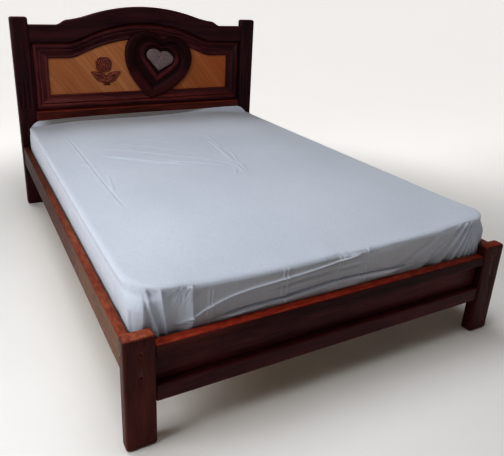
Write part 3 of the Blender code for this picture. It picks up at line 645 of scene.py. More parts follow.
def heart_outline(full, sx, sz=None, lift=0.0, lobe=64, flank=56):
    """Points round a heart, clockwise from its notch: two lobes, and flanks that bow out as full grows."""
    sz = sx if sz is None else sz
    d = HEART_W / (1 + math.sqrt(2))
    start, end, tip = math.radians(131), math.radians(-45 + 25 * full), math.radians(45 - 11 * full)
    a = np.linspace(start, end, lobe)
    half = np.stack([0.5 + math.sqrt(0.5) * np.cos(a), 0.5 + math.sqrt(0.5) * np.sin(a)], 1)
    p, q = half[-1], np.array((0.0, -1.0))
    u, v = (math.sin(end), -math.cos(end)), (math.cos(tip), math.sin(tip))
    den = u[0] * v[1] - u[1] * v[0]
    m = ((q[0] - p[0]) * v[1] - (q[1] - p[1]) * v[0]) / den if abs(den) > 1e-3 else np.hypot(*(q - p)) / 2
    c = p + np.array(u) * m
    t = np.linspace(0, 1, flank + 1)[1:, None]
    half = np.vstack([half, p * (1 - t) ** 2 + c * 2 * t * (1 - t) + q * t * t])
    loop = np.vstack([half, half[-2::-1] * (-1, 1)])
    x, z = loop[:, 0] * d * sx, (loop[:, 1] - 0.46) * d * sz + lift
    co, si = math.cos(HEART_LEAN), math.sin(HEART_LEAN)
    return np.stack([HEART_X + co * x - si * z, HEART_Z + si * x + co * z], 1)


# rings from the back over the wide outer roll, the groove and the inner ridge: fullness, scale, height
profile = through(
    (
        (1.5, 1.000, 0.0000),
        (1.5, 1.000, 0.0140),
        (1.5, 0.975, 0.0225),
        (1.4, 0.930, 0.0275),
        (1.3, 0.865, 0.0285),
        (1.2, 0.800, 0.0250),
        (1.1, 0.745, 0.0180),
        (0.9, 0.700, 0.0100),
        (0.5, 0.620, 0.0085),
        (0.4, 0.585, 0.0100),
        (0.3, 0.560, 0.0155),
        (0.2, 0.515, 0.0180),
        (0.1, 0.470, 0.0155),
        (0.0, 0.440, 0.0085),
    ),
    5,
)
profile = np.vstack([profile, [(0.0, k, 0.0085) for k in (0.40, 0.30, 0.20, 0.10, 0.03)]])
rings, heart_wear_and_painted_light = [], []
for full, k, h in profile:
    line = heart_outline(full, k)
    # the inner ridge stands a little straighter than the roll, as the silver heart in it does
    line[:, 0] += float(smooth((0.72 - k) / 0.16)) * (0.005 - 0.10 * (line[:, 1] - HEART_Z))
    run = np.concatenate([[0], np.cumsum(np.hypot(*(line[1:] - line[:-1]).T))])
    # shallow gouge cuts side by side along the roll and the ridge
    cut = np.abs(np.mod(run / 0.0125 + 0.4 * math.sin(37 * k), 1.0) - 0.5) * 2
    lively = smooth((h - 0.010) / 0.008)
    rings.append(np.stack([line[:, 0], MOULD_BACK - h + 0.00075 * lively * cut**2, line[:, 1]], 1))
    # the ridge mark: edge wear on the outer rim; painted light on the inner ridge, paler at its foot than on its top
    # lobes in shade, and on the lower roll
    inner = float(smooth((0.600 - k) / 0.03) * smooth((k - 0.435) / 0.02))
    low = smooth((HEART_Z - 0.05 - line[:, 1]) / 0.06) * float(smooth((k - 0.70) / 0.1))
    outer = float(smooth((k - 0.955) / 0.03) * smooth((h - 0.006) / 0.006))
    heart_wear_and_painted_light.append(inner * (0.30 + 0.70 * smooth((HEART_Z + 0.02 - line[:, 1]) / 0.05)) + 0.45 * outer + 0.46 * low)
points, faces = ringed(rings)
heart_ob = new_piece("heart_roll_and_ridge", points, faces, HEART, "bed_frame", "dark_wood", "heart_carving")
mark = heart_ob.data.attributes.new("ridge", "FLOAT", "POINT")
mark.data.foreach_set("value", np.concatenate(heart_wear_and_painted_light).astype(np.float32))

# ---------------------------------------------------------------- silver heart
seat = MOULD_BACK - 0.0085 - 0.0003
rings = []
scales = np.concatenate([[0.395], np.linspace(0.395, 0.006, 64)])
rises = np.interp(-scales, (-0.395, -0.388, -0.370, -0.290, -0.150, 0.0), (0.0060, 0.0075, 0.0095, 0.0125, 0.0138, 0.0138))
rises[0] = 0
for i, (k, h) in enumerate(zip(scales, rises)):
    line = heart_outline(0.0, k, 0.82 * k, -0.002, 52, 46)
    dent = np.zeros(len(line))
    if i > 1:
        # close punch marks all over the front
        for j, (x, z) in enumerate(line):
            near, _ = noise.voronoi(Vector((x / 0.0062, 0.0, z / 0.0062)), distance_metric="DISTANCE", exponent=2.5)
            dent[j] = 0.0017 * (1 - float(smooth(near[0] / 0.48)))
    rings.append(np.stack([line[:, 0] + 0.005 - 0.10 * (line[:, 1] - HEART_Z), seat - h + dent, line[:, 1]], 1))
points, faces = ringed(rings)
SILVER_SLOT = next(m["slot"] for m in frame["record"]["materials"] if "silver" in m["slot"])
new_piece("silver_heart", points, faces, SILVER, "bed_frame", SILVER_SLOT, "heart_inlay")

# ---------------------------------------------------------------- rose
ROSE_X, ROSE_Z = -0.243, 0.757
PANEL_FRONT = HEAD_Y + 0.036 - 0.0003


def carved_relief(name, outline, centre, height, node, steps=36):
    """A relief on the panel: its outline, drawn in towards its centre, at the height that a function gives."""
    line, c = np.array(outline, float), np.array(centre, float)
    nxt = np.roll(line, -1, axis=0)
    if (line[:, 0] * nxt[:, 1] - nxt[:, 0] * line[:, 1]).sum() > 0:
        line = line[::-1]
    rings, highs = [np.stack([line[:, 0], np.full(len(line), PANEL_FRONT), line[:, 1]], 1)], [np.zeros(len(line))]
    for k in np.linspace(1.0, 0.02, steps):
        at = c + (line - c) * k
        highs.append(np.maximum(height(at, k), 0.0008))
        rings.append(np.stack([at[:, 0], PANEL_FRONT - highs[-1], at[:, 1]], 1))
    points, faces = ringed(rings)
    ob = new_piece(name, points, faces, ROSE, "bed_frame", "rose_wood", node)
    # the high points are painted paler: partly rubbed wear, partly painted highlight
    H = np.array(highs)
    around = sum(np.roll(np.roll(H, i, 0), j, 1) for i in (-2, 0, 2) for j in (-3, 0, 3)) / 9
    wear_and_painted_light = np.clip((H - around) / 0.0005, 0, 1)
    wear_and_painted_light[:4] = 0
    mark = ob.data.attributes.new("ridge", "FLOAT", "POINT")
    mark.data.foreach_set("value", wear_and_painted_light.ravel().astype(np.float32))
    return ob


def bloom_height(at, k):
    """Four whorls of petals, each with a scalloped, rolled rim, standing over the one outside it."""
    a = np.arctan2(at[:, 0] - ROSE_X, at[:, 1] - ROSE_Z - 0.036)
    h = np.full(len(at), 0.0050 + 0.0012 * float(smooth((1 - k) / 0.08)))
    for count, rim, turn, step in ((5, 0.80, 0.35, 0.0028), (5, 0.57, 0.98, 0.0024), (3, 0.36, 0.20, 0.0018), (2, 0.18, 0.80, 0.0010)):
        swing = np.abs(np.cos(count * (a - turn) / 2))
        edge = rim * (0.80 + 0.20 * swing**0.7)
        h += step * smooth((edge - k) / 0.045)
        h += 0.0010 * np.exp(-(((edge - 0.055 - k) / 0.040) ** 2))
        h -= 0.0016 * np.exp(-(((edge + 0.030 - k) / 0.035) ** 2))
        h -= 0.0014 * np.exp(-((swing / 0.16) ** 2)) * np.exp(-(((rim * 0.78 - k) / 0.10) ** 2))
    return h


a = np.linspace(0, 2 * math.pi, 181)[:-1]
r = 1 - 0.07 * (1 - np.abs(np.sin(3.5 * a)))
r = r / (np.abs(np.sin(a)) ** 2.6 + np.abs(np.cos(a)) ** 2.6) ** (1 / 2.6)
carved_relief(
    "rose_petals",
    np.stack([ROSE_X + 0.0465 * r * np.sin(a), ROSE_Z + 0.036 + 0.0435 * r * np.cos(a)], 1),
    (ROSE_X, ROSE_Z + 0.036),
    bloom_height,
    "rose_bloom",
    56,
)


def leaf_relief(name, node, x0, z0, x1, z1, width, centre):
    """A pointed leaf with a toothed edge, a hollowed midrib and slanting veins."""
    base, way = np.array((x0, z0)), np.array((x1 - x0, z1 - z0))
    long = np.hypot(*way)
    u = way / long
    q = np.array((-u[1], u[0]))

    def half(t):
        return width / 2 * np.sin(np.pi * np.clip(t, 0, 1) ** 0.62) ** 0.9 + 0.0012

    t = np.linspace(0, 1, 91)
    teeth = 1 - 0.13 * np.mod(t * 8.5, 1.0) * smooth(t / 0.15) * smooth((1 - t) / 0.06)
    upper = base + np.outer(t * long, u) + np.outer(half(t) * teeth, q)
    lower = base + np.outer(t * long, u) - np.outer(half(t) * teeth, q)

    def height(at, k):
        rel = at - base
        s, w = rel @ u, rel @ q
        v = np.clip(np.abs(w) / np.maximum(half(s / long), 1e-4), 0, 1)
        h = 0.0100 * (0.42 + 0.58 * (1 - v**2.2))
        h -= 0.0026 * np.exp(-((w / 0.0024) ** 2))
        vein = (0.5 + 0.5 * np.cos(2 * np.pi * (s - 0.9 * np.abs(w)) / 0.0115)) ** 5
        return h - 0.0015 * vein * smooth(v / 0.2) * (1 - smooth((v - 0.80) / 0.2))

    carved_relief(name, np.vstack([upper, lower[::-1]]), centre, height, node, 40)


leaf_relief("rose_leaf_left_veined", "rose_leaf_left", ROSE_X + 0.009, ROSE_Z - 0.052, ROSE_X - 0.075, ROSE_Z - 0.004, 0.055, (ROSE_X - 0.024, ROSE_Z - 0.033))
leaf_relief("rose_leaf_right_veined", "rose_leaf_right", ROSE_X + 0.018, ROSE_Z - 0.052, ROSE_X + 0.098, ROSE_Z - 0.006, 0.055, (ROSE_X + 0.049, ROSE_Z - 0.034))

foot_points = ((0, 10), (11, 10), (19, 9), (21, 4), (19, -3), (17, -8), (13, -9.5), (0, -9.5), (-13, -9.5), (-17, -8), (-19, -3), (-21, 4), (-19, 9), (-11, 10))
stalk = np.array(foot_points, float) / 1000 + (ROSE_X + 0.0135, ROSE_Z - 0.0735)
stalk = np.concatenate([np.linspace(p, q, 9)[:-1] for p, q in zip(stalk, np.roll(stalk, -1, axis=0))])


def stalk_height(at, k):
    """A rounded foot with cut bands across it."""
    band = np.cos(2 * np.pi * (at[:, 1] - ROSE_Z + 0.0735) / 0.0075)
    return 0.0100 * (0.45 + 0.55 * (1 - k**2.4)) - 0.0012 * np.clip(band, 0, 1) * float(smooth((1 - k) / 0.12))


carved_relief("rose_stalk", stalk, (ROSE_X + 0.0135, ROSE_Z - 0.0735), stalk_height, "rose_stem", 28)


# ---------------------------------------------------------------- fitted sheet
def spaced(low, high, count, *dense):
    """Places from low to high, closer together round each (centre, reach, how much closer)."""
    t = np.linspace(low, high, 4001)
    w = np.ones_like(t)
    for centre, reach, more in dense:
        w += more * np.exp(-(((t - centre) / reach) ** 2))
    run = np.concatenate([[0], np.cumsum((w[1:] + w[:-1]) / 2)])
    return np.interp(np.linspace(0, run[-1], count), run, t)


class Sheet:
    """A rounded slab of cloth. Each point has a place on a square-cornered box (x, y, and s: less than 0 on top,
    the distance down from the top's edge on the sides), and is bent from there to the round-cornered shape."""

    HX, HY, YC = 0.6935, 0.9718, -0.0100
    # the two long folds on the foot, as (x, z): their crests lie along rows of the mesh
    SWEEP = ((-0.575, 0.3490), (-0.540, 0.3580), (-0.505, 0.3710), (-0.473, 0.3860), (-0.405, 0.4040), (-0.328, 0.4130), (-0.237, 0.4175), (-0.116, 0.4245), (-0.015, 0.4350), (0.100, 0.4425))
    LOWER = ((-0.470, 0.3350), (-0.400, 0.3450), (-0.340, 0.3490), (-0.267, 0.3490), (-0.146, 0.3540), (-0.083, 0.3585), (-0.015, 0.3620), (0.060, 0.3610), (0.180, 0.3560), (0.330, 0.3480))
    TOP, BOTTOM = 0.4880, 0.2990
    CORNER, CORNER_LOW = 0.125, 0.042

    def __init__(self, nx, ny, deep_rows, hem_rows, pushed=True):
        hx, hy, yc = self.HX, self.HY, self.YC
        self.pushed = pushed
        fine = nx > 150
        k = 1.0 if fine else 0.3
        xs = spaced(-hx, hx, nx, (-hx, 0.022, 2.2 * k), (hx, 0.022, 1.6 * k), (-0.600, 0.075, 2.4 * k), (0.590, 0.085, 1.4 * k), (-0.2185, 0.012, 5.0 * k), (0.090, 0.012, 4.0 * k), (-0.008, 0.010, 3.0 * k), (-0.467, 0.010, 3.0 * k))
        ys = yc + spaced(-hy, hy, ny, (-hy, 0.022, 3.4 * k), (hy, 0.030, 2.6 * k), (0.03, 0.25, 0.5 * k))
        gx, gy = np.meshgrid(xs, ys, indexing="ij")
        top = np.arange(nx * ny).reshape(nx, ny)
        d = np.minimum(hx - np.abs(gx), hy - np.abs(gy - yc))
        X, Y, S = [gx.ravel()], [gy.ravel()], [-d.ravel()]
        ring = list(top[:, 0]) + list(top[-1, 1:]) + list(top[-2::-1, -1]) + list(top[0, -2:0:-1])
        rx, ry = gx.ravel()[ring], gy.ravel()[ring]
        deep = self.TOP - self.BOTTOM
        # rows down the wall, twice as many on the foot and round its corners as elsewhere
        rows = list(spaced(0, deep, 2 * deep_rows + 1, (0.0, 0.020, 1.2))[1:])
        rows += [deep + u for u in np.repeat(np.linspace(0, 0.075, hem_rows + 1)[1:], 2)]
        close = (ry < yc - hy + 0.10) & fine
        n = len(ring)
        nxt = np.roll(np.arange(n), -1)
        ids = [np.array(ring)]
        count = nx * ny
        for k, s in enumerate(rows):
            has = np.full(n, k % 2 == 1) | (close & (k < 2 * deep_rows))
            row = np.full(n, -1)
            row[has] = count + np.arange(has.sum())
            count += has.sum()
            ids.append(row)
            X.append(rx[has])
            Y.append(ry[has])
            level = np.full(has.sum(), s)
            if fine and k < 2 * deep_rows:
                level = self.along_folds(rx[has], ry[has], s, (k + 1) / (2 * deep_rows))
            S.append(level)
        faces = [
            (top[i, j], top[i + 1, j], top[i + 1, j + 1], top[i, j + 1]) for i in range(nx - 1) for j in range(ny - 1)
        ]
        for k in range(0, len(rows), 2):
            upper, middle, lower = ids[k], ids[k + 1], ids[k + 2]
            for c in range(n):
                e = nxt[c]
                if middle[c] >= 0 and middle[e] >= 0:
                    faces.append((upper[c], middle[c], middle[e], upper[e]))
                    faces.append((middle[c], lower[c], lower[e], middle[e]))
                else:
                    loop = (upper[c], middle[c], lower[c], lower[e], middle[e], upper[e])
                    faces.append(tuple(v for v in loop if v >= 0))
        last = ids[-1]
        self.x, self.y, self.s = np.concatenate(X), np.concatenate(Y), np.concatenate(S)
        self.faces, self.edge_row = faces, last
        self.inset0 = np.maximum(np.minimum(hx - np.abs(self.x), hy - np.abs(self.y - yc)), 0)

    def refine(self, wanted):
        """Halve the faces whose middle (x, y, s) is wanted, on the flat box that the cloth is bent from."""
        bm = bmesh.new()
        for x, y, s in zip(self.x, self.y, self.s):
            bm.verts.new((x, y, -max(s, 0.0)))
        bm.verts.ensure_lookup_table()
        for f in self.faces:
            bm.faces.new([bm.verts[int(v)] for v in f])
        middle = np.array([f.calc_center_median() for f in bm.faces])
        pick = wanted(middle[:, 0], middle[:, 1], -middle[:, 2])
        edges = {e for f, yes in zip(bm.faces, pick) if yes for e in f.edges}
        bmesh.ops.subdivide_edges(bm, edges=list(edges), cuts=1, use_grid_fill=True)
        bm.verts.index_update()
        co = np.array([v.co for v in bm.verts])
        self.faces = [tuple(v.index for v in f.verts) for f in bm.faces]
        bm.free()
        self.x, self.y = co[:, 0], co[:, 1]
        self.inset0 = np.maximum(np.minimum(self.HX - np.abs(self.x), self.HY - np.abs(self.y - self.YC)), 0)
        self.s = np.where(co[:, 2] < -1e-7, -co[:, 2], -self.inset0)

    def along_folds(self, x, y, s, share):
        """The depth of a row of the wall: level, except on the foot, where the rows gather along the long folds."""
        deep = self.TOP - self.BOTTOM
        top = self.TOP + self.height(x, np.full(len(x), self.YC - self.HY))
        marks = [np.zeros(len(x))]
        for path in (self.SWEEP, self.LOWER):
            line = through(path)
            marks.append((top - np.interp(x, line[:, 0], line[:, 1])) * deep / (top - self.BOTTOM))
        marks.append(np.full(len(x), deep))
        knots = (0.0, 0.46, 0.80, 1.0)
        k = min(np.searchsorted(knots, share, side="right") - 1, 2)
        u = (share - knots[k]) / (knots[k + 1] - knots[k])
        u = u - 0.62 * math.sin(2 * math.pi * u) / (2 * math.pi)
        bent = marks[k] + (marks[k + 1] - marks[k]) * u
        weight = smooth((x + 0.625) / 0.045) * smooth((0.46 - x) / 0.10) * (y < self.YC - self.HY + 1e-6)
        return s + (bent - s) * weight

    def shape(self):
        hx, hy, yc = self.HX, self.HY, self.YC
        x, y, s = self.x, self.y - yc, self.s
        d = self.inset0
        head = smooth((y - (hy - 0.10)) / 0.06)
        r = 0.0185 - 0.0115 * head
        deep = self.TOP - self.BOTTOM
        theta = np.clip((s + r) / (2 * r), 0, 1) * math.pi / 2
        inset = np.where(s < -r, -s, r * (1 - np.sin(theta)))
        drop = np.where(s < -r, 0, np.where(s <= r, r * (1 - np.cos(theta)), s))
        below = np.clip(s - deep, 0, None)
        drop = np.minimum(drop, deep)
        inset = inset + below
        # which side of the outline, and the outward direction there
        on_x = (hx - np.abs(x)) <= (hy - np.abs(y))
        ax, ay = hx - inset, hy - inset
        px = np.where(on_x, np.sign(x) * ax, x * ax / np.maximum(hx - d, 1e-6))
        py = np.where(on_x, y * ay / np.maximum(hy - d, 1e-6), np.sign(y) * ay)
        # the corners are round at the top, and squarer further down
        corner_r = self.CORNER + (self.CORNER_LOW - self.CORNER) * smooth((s - 0.002) / 0.075)
        corner_r = corner_r - np.where(y > 0, 0.060, np.where(x > 0, 0.035, 0.0)) * (1 - smooth((s - 0.002) / 0.075))
        R = np.maximum(corner_r - inset, 0.0)
        ex, ey = ax - np.abs(px), ay - np.abs(py)
        corner = (np.maximum(ex, ey) < R) & (R > 1e-6)
        Rs = np.maximum(R, 1e-6)
        phi = np.where(on_x, (1 - ey / Rs) * math.pi / 4, math.pi / 2 - (1 - ex / Rs) * math.pi / 4)
        cx, cy = ax - R + R * np.cos(phi), ay - R + R * np.sin(phi)
        px = np.where(corner, np.sign(x) * cx, px)
        py = np.where(corner, np.sign(y) * cy, py)
        nx = np.where(corner, np.sign(x) * np.cos(phi), np.where(on_x, np.sign(x), 0.0))
        ny = np.where(corner, np.sign(y) * np.sin(phi), np.where(on_x, 0.0, np.sign(y)))
        top = self.TOP + self.height(px, py + yc)
        p = np.stack([px, py + yc, top - drop * (top - self.BOTTOM) / deep], 1)
        th = np.where(s < -r, 0.0, theta)
        n = np.stack([nx * np.sin(th), ny * np.sin(th), np.cos(th)], 1)
        n[below > 0] = (0, 0, -1)
        self.theta, self.below, self.plan = th, below, np.stack([nx, ny], 1)
        return p, n

    def height(self, x, y):
        """How far the top stands over its level: a low crown whose edges sink between the corners, and the cloth
        pushed up against the headboard."""
        u, v = x / self.HX, (y - self.YC) / self.HY
        crown = 0.011 * np.clip(1 - u * u, 0, 1) * np.clip(1 - v**4, 0, 1)
        fx = 1 - smooth((self.HX - np.abs(x)) / 0.30)
        fy = 1 - smooth((y - (self.YC - self.HY)) / 0.30)
        edge = 0.019 * (fx + fy - 1.45 * fx * np.minimum(fy, 1))
        seat = 0.0025 * np.exp(-(((x + 0.31) / 0.16) ** 2)) * (1 - smooth((y + 0.982) / 0.20)) - 0.004 * np.exp(-(((x + 0.055) / 0.05) ** 2)) * (1 - smooth((y + 0.982) / 0.10))
        sag = np.interp(x, (-0.56, -0.50, -0.45, -0.35, -0.25, -0.10, 0.05, 0.20, 0.30, 0.40, 0.48, 0.56), (0.0, 0.0055, 0.0070, 0.0090, 0.0110, 0.0130, 0.0145, 0.0145, 0.0130, 0.0090, 0.0040, 0.0))
        level = crown - edge - seat - sag * (1 - smooth((y - (self.YC - self.HY)) / 0.14))
        if self.pushed:
            head = np.interp(x, (-0.66, -0.63, -0.46, -0.28, -0.09, 0.10, 0.31, 0.45, 0.54, 0.63, 0.67), (0.494, 0.499, 0.504, 0.507, 0.509, 0.509, 0.507, 0.509, 0.511, 0.510, 0.505))
            level = level + (head - self.TOP - level) * smooth((y - np.minimum(self.band(x), 0.930)) / (0.9640 - np.minimum(self.band(x), 0.930)))
        return level

    @staticmethod
    def band(x):
        """Where the band of painted shade at the head begins."""
        return np.interp(x, (-0.66, -0.46, -0.28, -0.09, 0.10, 0.31, 0.45, 0.60), (0.934, 0.926, 0.920, 0.916, 0.926, 0.944, 0.955, 0.962))


# wrinkles on the top, as (x, y) paths: a straight pressing line, pull lines that meet near the middle with their
# width and height, and faint ripples across
PRESSED = [(-0.549, 0.610), (-0.545, 0.300), (-0.548, -0.060), (-0.545, -0.440)]
PULLS = (
    ([(-0.480, 0.330), (-0.260, 0.150), (-0.080, -0.010), (0.035, -0.127)], 0.0048, 0.0024),
    ([(-0.500, 0.215), (-0.330, 0.060), (-0.200, -0.050), (-0.120, -0.110)], 0.0050, 0.0030),
    ([(-0.487, 0.180), (-0.340, 0.035), (-0.230, -0.062)], 0.0045, -0.0020),
    ([(-0.260, 0.045), (-0.130, -0.062), (0.010, -0.165)], 0.0046, 0.0026),
    ([(-0.380, 0.370), (-0.200, 0.220), (-0.060, 0.080)], 0.0055, 0.0018),
    ([(-0.300, 0.450), (-0.150, 0.330), (-0.020, 0.210)], 0.0060, 0.0014),
    ([(0.132, 0.420), (0.108, 0.200), (0.072, 0.000), (0.045, -0.177)], 0.0048, 0.0030),
    ([(0.098, 0.300), (0.080, 0.120), (0.052, -0.060), (0.030, -0.170)], 0.0045, 0.0026),
    ([(0.118, 0.330), (0.096, 0.140), (0.064, -0.050)], 0.0042, -0.0022),
    ([(0.230, 0.130), (0.330, 0.080), (0.480, 0.020)], 0.0055, 0.0020),
    ([(0.260, 0.085), (0.360, 0.045), (0.450, 0.000)], 0.0050, -0.0016),
    ([(0.112, 0.060), (0.088, -0.050), (0.060, -0.150)], 0.0046, 0.0014),
    ([(-0.020, -0.080), (0.030, -0.140), (0.085, -0.175)], 0.0046, 0.0024),
    ([(0.012, -0.120), (0.034, -0.200), (0.010, -0.290)], 0.0046, 0.0022),
    ([(0.070, -0.140), (0.052, -0.215), (0.022, -0.282)], 0.0046, 0.0018),
    ([(0.010, -0.215), (-0.014, -0.255), (-0.030, -0.290)], 0.0046, 0.0016),
    ([(-0.575, 0.150), (-0.555, 0.090), (-0.530, 0.050)], 0.0055, 0.0022),
    ([(-0.512, -0.060), (-0.524, -0.150), (-0.540, -0.260)], 0.0050, 0.0010),
)
RIPPLES = [
    [(a, yy + 0.020), ((a + b) / 2, yy - 0.010), (b, yy - 0.030)]
    for yy, a, b in ((0.80, -0.45, 0.05), (0.72, -0.30, 0.20), (0.62, -0.44, 0.10), (0.55, -0.36, 0.16), (0.47, -0.42, 0.02), (0.66, 0.10, 0.42), (-0.02, -0.52, -0.36))
]


def near_wrinkles(x, y, s):
    """The faces that need a finer mesh: along the wrinkles on top, and at both corners of the foot."""
    close = np.full(len(x), 1e9)
    for path in [PRESSED, *(through(p[0], 4) for p in PULLS)]:
        close = np.minimum(close, np.abs(nearest_on(path, x, y)[0]))
    on_foot = (y < sheet.YC - sheet.HY + 0.002) & (s > 0.004) & (s < 0.186)
    corners = ((x > -0.592) & (x < -0.508)) | ((x > 0.500) & (x < 0.680))
    at_band = np.abs(y - Sheet.band(x)) < 0.012
    top = sheet.TOP + sheet.height(x, y)
    z = top - s * (top - sheet.BOTTOM) / (sheet.TOP - sheet.BOTTOM)
    long_fold = (np.abs(nearest_on(through(sheet.SWEEP), x, z)[0]) < 0.010) | (np.abs(nearest_on(through(sheet.LOWER), x, z)[0]) < 0.006)
    return ((s <= 0) & ((close < 0.014) | at_band)) | (on_foot & (corners | long_fold))


sheet = Sheet(192, 180, 32, 3)


def ridge(t, width):
    """A rounded fold's cross-section."""
    return np.exp(-((t / width) ** 2))


def nearest_on(path, u, v):
    """Signed distance to a path of (u, v) points (positive to its left), and how far along it, from 0 to 1."""
    path = np.array(path, float)
    best, sign, place = np.full(len(u), 1e9), np.zeros(len(u)), np.zeros(len(u))
    lengths = np.hypot(*(path[1:] - path[:-1]).T)
    total, run = lengths.sum(), 0.0
    for a, b, length in zip(path[:-1], path[1:], lengths):
        dx, dy = (b - a) / length
        t = np.clip((u - a[0]) * dx + (v - a[1]) * dy, 0, length)
        ox, oy = u - a[0] - t * dx, v - a[1] - t * dy
        dist = np.hypot(ox, oy)
        near = dist < best
        best = np.where(near, dist, best)
        sign = np.where(near, np.sign(dx * oy - dy * ox), sign)
        place = np.where(near, (run + t) / total, place)
        run += length
    return best * sign, place


def crease(path, u, v, width, height, ends=0.15):
    """A round fold along a path: how far it lifts the cloth at each (u, v)."""
    d, place = nearest_on(path, u, v)
    fade = smooth(place / ends) * smooth((1 - place) / ends)
    return height * fade * np.exp(-((d / width) ** 2))


def lap(path, u, v, swell, tuck, height, ends=0.12):
    """A fold that swells on the path's left and tucks in sharply on its right."""
    d, place = nearest_on(path, u, v)
    fade = smooth(place / ends) * smooth((1 - place) / ends)
    return height * fade * np.where(d > 0, np.exp(-d / swell), 1 - smooth(-d / tuck)) * (np.abs(d) < 0.5)


def tooth(u, a, b, sharp, power=1.6):
    """A pleat between a and b: it rises slowly from a, and drops sharply just before b."""
    wide = np.maximum(b - a, 1e-4)
    t = np.clip((u - a) / wide, 0, 1)
    share = np.minimum(sharp / wide, 0.5)
    return np.where((u > a) & (u < b), t**power * (1 - smooth((t - 1 + share) / share)), 0.0)


def follow(z, *stops):
    """A value that changes with height, through (z, value) stops in falling order of z."""
    zs, vs = zip(*reversed(stops))
    return np.interp(z, zs, vs)


